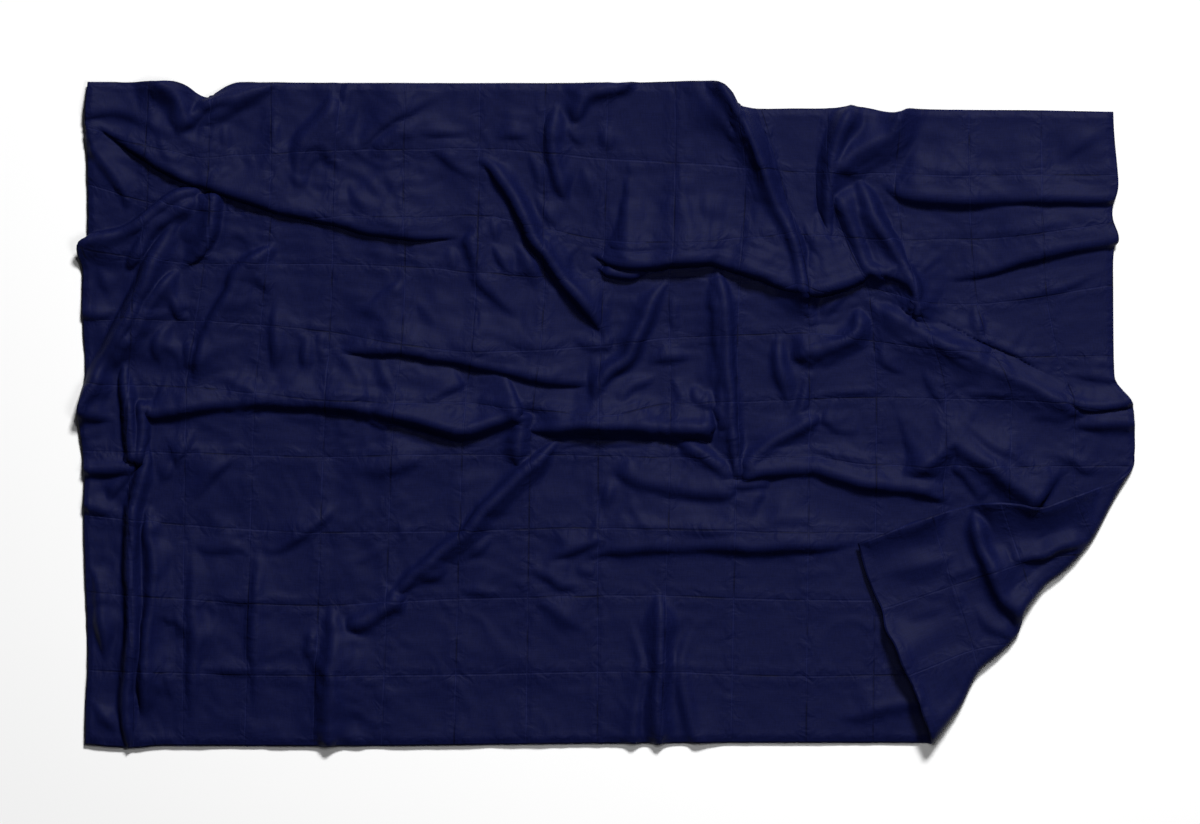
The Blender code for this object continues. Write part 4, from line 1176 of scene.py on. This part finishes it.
# %% Moving the faces apart
FLAT_MARGIN = 0.3
faces = np.empty(len(blanket.data.polygons) * 4, np.int32)
blanket.data.polygons.foreach_get("vertices", faces)
faces = faces.reshape(-1, 4)
top_faces = faces[front[faces].all(1)]
a, b, c, d = (middle[top_faces[:, corner]] for corner in range(4))
area = np.cross(c - a, d - b)
normals = np.zeros_like(middle)
for corner in range(4):
    np.add.at(normals, top_faces[:, corner], area)
normals[back_order] = normals[front_order]
normals /= np.linalg.norm(normals, axis=1)[:, None]
reach = np.where(front, thick - CORE / 2, -CORE / 2)
placed = middle + normals * reach[:, None]
on_floor = ~front & (middle[:, 2] < CORE / 2 + FLAT_MARGIN)
placed[:, 2] = np.where(on_floor, 0.0, np.maximum(placed[:, 2], 0.0))
write_points(blanket.data, placed * MM)
bpy.ops.object.shade_smooth()
print("laid size with thickness in mm:", np.ptp(placed, axis=0).round(1))

# %% [markdown]
# ## Thinning the hidden back
# Nobody sees the back where it lies on the floor, so it can do with fewer triangles. Decimate works on one
# group of points only, and the turned corner, whose back is in plain sight, and the rim stay out of it.

# %% Thinning the hidden back
TURNED_MARGIN = 40.0
RIM_KEPT = 0.15
BACK_KEPT = 0.6
start, _, out = turn_frame()
hidden = blanket.vertex_groups.new(name="hidden_back")
is_hidden = ~front & ((laid_flat(along, across) - start) @ out < -TURNED_MARGIN)
is_hidden &= pockets_inward(along, across) > RIM_KEPT
hidden.add(np.flatnonzero(is_hidden).tolist(), 1.0, "REPLACE")
thin = blanket.modifiers.new("thin back", "DECIMATE")
thin.vertex_group = hidden.name
thin.ratio = BACK_KEPT
bpy.ops.object.modifier_apply(modifier=thin.name)
blanket.vertex_groups.clear()
points = read_points(blanket.data)
points[:, 2] = np.maximum(points[:, 2], 0.0)
write_points(blanket.data, points)
blanket.data.calc_loop_triangles()
print("triangles:", len(blanket.data.loop_triangles))


# %% [markdown]
# ## The cotton
# The faces are cotton sateen, woven so that most of each thread floats on the surface, dyed navy and
# washed. That gives the eye an even, nearly black blue with a faint soft sheen where a fold turns towards
# the light. A flat colour would look like plastic, so the threads, seams and wear, and a painted shade in
# the stitch grooves, are worked out from the cloth's own millimetres, and follow it into every fold.

# %% Colour and node helpers
def colour(code):
    """An sRGB hex value as linear red, green, blue and alpha."""
    parts = [int(code[start : start + 2], 16) / 255 for start in (1, 3, 5)]
    return (*(part / 12.92 if part <= 0.04045 else ((part + 0.055) / 1.055) ** 2.4 for part in parts), 1.0)


def add(tree, kind, inputs, **settings):
    """Adds a node, sets its options, and feeds each input from another node's output or a plain value."""
    node = tree.nodes.new(kind)
    for name, value in settings.items():
        setattr(node, name, value)
    for socket, value in inputs.items():
        if isinstance(value, bpy.types.NodeSocket):
            tree.links.new(value, node.inputs[socket])
        else:
            node.inputs[socket].default_value = value
    return node


print("white is", colour("#FFFFFF"))

# %% [markdown]
# ## Distances on the cloth
# Seams, puckers and threads all have real sizes. So the material turns the cloth's UV map into millimetres
# first, and measures how far each place is from its nearest seam.

# %% Distances on the cloth
cotton = bpy.data.materials.new("navy_cotton_sateen")
cotton.use_nodes = True
tree = cotton.node_tree
shader = tree.nodes["Principled BSDF"]
cloth = add(tree, "ShaderNodeUVMap", {}, uv_map="cloth")
sides = add(tree, "ShaderNodeSeparateXYZ", {0: cloth.outputs[0]})
seams = []
for axis, pockets, cut in ((0, POCKETS_ALONG, CUT_LENGTH), (1, POCKETS_ACROSS, CUT_WIDTH)):
    place = add(tree, "ShaderNodeMath", {0: sides.outputs[axis], 1: float(pockets)}, operation="MULTIPLY")
    apart = add(tree, "ShaderNodeMath", {0: place.outputs[0], 1: 0.5}, operation="PINGPONG")
    apart_mm = add(tree, "ShaderNodeMath", {0: apart.outputs[0], 1: cut / pockets}, operation="MULTIPLY")
    seams.append(apart_mm.outputs[0])
nearest_seam = add(tree, "ShaderNodeMath", {0: seams[0], 1: seams[1]}, operation="MINIMUM")
cloth_mm = add(tree, "ShaderNodeVectorMath", {0: cloth.outputs[0], 1: (CUT_LENGTH, CUT_WIDTH, 1.0)},
               operation="MULTIPLY")
print("material:", cotton.name)

# %% [markdown]
# ## Threads, seams and puckers
# Stitches pull the cloth into a narrow groove and pucker it on both sides, most of all close to the seam.
# The threads add a grain that runs along and across. All of it is only a millimetre or two high, so bump
# gives it without more mesh. The folds and pockets themselves are real shapes.

# %% Grain of the threads
# A thread is 0.2 mm wide, too fine to show from here, so slubs and plies are drawn about 2 mm wide.
SLUB_LONG, SLUB_WIDE = 28, 1.6
PLY_WIDE, PLY_LONG = 2.2, 14
slub_place = add(tree, "ShaderNodeVectorMath",
                 {0: cloth_mm.outputs[0], 1: (1 / SLUB_LONG, 1 / SLUB_WIDE, 1.0)}, operation="MULTIPLY")
slub = add(tree, "ShaderNodeTexNoise", {"Vector": slub_place.outputs[0], "Scale": 1.0, "Detail": 3.0})
ply_place = add(tree, "ShaderNodeVectorMath",
                {0: cloth_mm.outputs[0], 1: (1 / PLY_WIDE, 1 / PLY_LONG, 1.0)}, operation="MULTIPLY")
ply = add(tree, "ShaderNodeTexNoise", {"Vector": ply_place.outputs[0], "Scale": 1.0, "Detail": 2.0})
weave = add(tree, "ShaderNodeMath", {0: slub.outputs[0], 1: ply.outputs[0]}, operation="ADD")
print("grain drawn in mm:", (SLUB_LONG, SLUB_WIDE), (PLY_WIDE, PLY_LONG))

# %% Stitch lines and puckers
STITCH_CORE, STITCH_EDGE = 0.7, 2.0
PUCKER_REACH = 26.0
PUCKER_ELSEWHERE = 0.15
PUCKER_SIZE = 26
stitch = add(tree, "ShaderNodeMapRange", {"Value": nearest_seam.outputs[0], "From Min": STITCH_CORE,
                                          "From Max": STITCH_EDGE, "To Min": 1.0, "To Max": 0.0},
             interpolation_type="SMOOTHSTEP")
near_seam = add(tree, "ShaderNodeMapRange", {"Value": nearest_seam.outputs[0], "From Min": 0.0,
                                             "From Max": PUCKER_REACH, "To Min": 1.0,
                                             "To Max": PUCKER_ELSEWHERE},
                interpolation_type="SMOOTHSTEP")
pucker = add(tree, "ShaderNodeTexNoise", {"Vector": cloth_mm.outputs[0], "Scale": 1 / PUCKER_SIZE,
                                          "Detail": 1.6, "Roughness": 0.55, "Distortion": 0.9})
puckered = add(tree, "ShaderNodeMath", {0: pucker.outputs[0], 1: near_seam.outputs[0]},
               operation="MULTIPLY")
print("puckers reach", PUCKER_REACH, "mm from a seam")

# %% One relief from all three
PUCKER_HEIGHT = 3.3
SEAM_DEPTH = -0.4
WEAVE_HEIGHT = 0.10
raised = add(tree, "ShaderNodeMath", {0: puckered.outputs[0], 1: PUCKER_HEIGHT}, operation="MULTIPLY")
sunk = add(tree, "ShaderNodeMath", {0: stitch.outputs[0], 1: SEAM_DEPTH, 2: raised.outputs[0]},
           operation="MULTIPLY_ADD")
relief = add(tree, "ShaderNodeMath", {0: weave.outputs[0], 1: WEAVE_HEIGHT, 2: sunk.outputs[0]},
             operation="MULTIPLY_ADD")
bump_node = add(tree, "ShaderNodeBump", {"Height": relief.outputs[0], "Distance": MM, "Strength": 1.0})
tree.links.new(bump_node.outputs[0], shader.inputs["Normal"])
print("highest pucker in mm:", PUCKER_HEIGHT)

# %% [markdown]
# ## Dye, wear and painted seam shade
# The dye takes a little unevenly from thread to thread. Along the seams, washing has rubbed the stitches
# paler in some places, and in others a painted shade darkens them, standing in for the shadow in the
# stitch groove. One slow noise decides where each shows.

# %% Colour of the cotton
NAVY, NAVY_LIGHT = colour("#080C2F"), colour("#0C1139")
# The first is a painted shade standing in for the shadow in a stitch groove. The second is the paler worn
# thread.
PAINTED_GROOVE_SHADE, WORN_THREAD = colour("#03041A"), colour("#1E2350")
# Grain below the first of these is all dark yarn, and above the second all light.
YARN_DARK, YARN_LIGHT = 0.7, 1.3
WEAR_SIZE = 70
# Stitches wear paler as the wear noise climbs between two values, by these shares.
WORN_FROM, WORN_TO, WORN_LEAST, WORN_MOST = 0.42, 0.66, 0.03, 0.26
# Stitches get a painted groove shade below the first of these, fading out of it towards the second.
PAINTED_SHADE_FROM, PAINTED_SHADE_TO, PAINTED_SHADE_MOST = 0.36, 0.54, 0.75
yarn = add(tree, "ShaderNodeMapRange", {"Value": weave.outputs[0], "From Min": YARN_DARK,
                                        "From Max": YARN_LIGHT, "To Min": 0.0, "To Max": 1.0})
navy = add(tree, "ShaderNodeMix", {"Factor": yarn.outputs[0], "A": NAVY, "B": NAVY_LIGHT},
           data_type="RGBA")
wear = add(tree, "ShaderNodeTexNoise", {"Vector": cloth_mm.outputs[0], "Scale": 1 / WEAR_SIZE, "Detail": 2.0})
worn = add(tree, "ShaderNodeMapRange", {"Value": wear.outputs[0], "From Min": WORN_FROM,
                                        "From Max": WORN_TO, "To Min": WORN_LEAST, "To Max": WORN_MOST})
thread = add(tree, "ShaderNodeMath", {0: stitch.outputs[0], 1: worn.outputs[0]}, operation="MULTIPLY")
# Painted shade in the stitch groove where the wear noise is low: a dark colour in place of the groove's
# shadow.
painted_shade_fade = add(tree, "ShaderNodeMapRange", {"Value": wear.outputs[0], "From Min": PAINTED_SHADE_FROM,
                                          "From Max": PAINTED_SHADE_TO, "To Min": PAINTED_SHADE_MOST, "To Max": 0.0})
painted_groove_share = add(tree, "ShaderNodeMath", {0: stitch.outputs[0], 1: painted_shade_fade.outputs[0]}, operation="MULTIPLY")
navy_with_painted_shade = add(tree, "ShaderNodeMix", {"Factor": painted_groove_share.outputs[0], "A": navy.outputs["Result"],
                                      "B": PAINTED_GROOVE_SHADE}, data_type="RGBA")
sewn = add(tree, "ShaderNodeMix", {"Factor": thread.outputs[0], "A": navy_with_painted_shade.outputs["Result"],
                                   "B": WORN_THREAD}, data_type="RGBA")
tree.links.new(sewn.outputs["Result"], shader.inputs["Base Color"])
print("cotton nodes:", len(tree.nodes))

# %% Gloss of the cotton
COTTON_ROUGH = 0.58
COTTON_GLOSS = 0.058
shader.inputs["Roughness"].default_value = COTTON_ROUGH
shader.inputs["Specular IOR Level"].default_value = COTTON_GLOSS
blanket.data.materials.append(cotton)
print("roughness and gloss:", COTTON_ROUGH, COTTON_GLOSS)

# %% [markdown]
# ## Floor and light
# A plain white floor, one big soft light beyond the far edge and one overhead. Ridges catch the far light
# on their backs and throw soft shadows towards the near edge. The floor is bright paint with no gloss, so
# that it stays an even white round the dark cloth. A touch of light from all round keeps the deepest folds
# from going black.

# %% Floor
FLOOR_SIZE = 12
FLOOR_DROP = 0.5 * MM
FLOOR_ROUGH = 0.9
bpy.ops.object.select_all(action="DESELECT")
bpy.ops.mesh.primitive_plane_add(size=FLOOR_SIZE, location=(0, 0, -FLOOR_DROP))
floor = bpy.context.object
floor.name = "floor"
floor_paint = bpy.data.materials.new("white_floor")
floor_paint.use_nodes = True
floor_shader = floor_paint.node_tree.nodes["Principled BSDF"]
floor_shader.inputs["Base Color"].default_value = colour("#FFFFFF")
floor_shader.inputs["Roughness"].default_value = FLOOR_ROUGH
floor_shader.inputs["Specular IOR Level"].default_value = 0.0
floor.data.materials.append(floor_paint)
print("floor in metres:", tuple(floor.dimensions))


# %% Lights
def soft_light(name, place, aim, size, power):
    """A square soft box at a place, turned towards the point it lights."""
    bpy.ops.object.light_add(type="AREA", location=place)
    light = bpy.context.object
    light.name = name
    light.data.size = size
    light.data.energy = power
    direction = np.subtract(aim, place)
    turn = np.arctan2(np.hypot(direction[0], direction[1]), -direction[2])
    light.rotation_euler = (turn, 0, np.arctan2(-direction[0], direction[1]))
    print(name, "leans", np.degrees(turn).round(1), "degrees from straight down")


soft_light("far_light", place=(3.1, 9.9, 10.6), aim=(0, 0, 0), size=2.6, power=2600)
soft_light("overhead_light", place=(0.4, 0, 2.4), aim=(0.4, 0, 0), size=0.8, power=14)

# %% World
WORLD_LIGHT = 0.02
world = bpy.context.scene.world or bpy.data.worlds.new("studio")
bpy.context.scene.world = world
world.use_nodes = True
background = world.node_tree.nodes["Background"]
background.inputs["Color"].default_value = (1, 1, 1, 1)
background.inputs["Strength"].default_value = WORLD_LIGHT
bpy.context.scene.view_settings.view_transform = "Standard"
print("world light:", WORLD_LIGHT)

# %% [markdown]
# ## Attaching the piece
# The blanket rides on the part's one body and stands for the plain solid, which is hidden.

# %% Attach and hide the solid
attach(blanket, "root")
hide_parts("blanket")
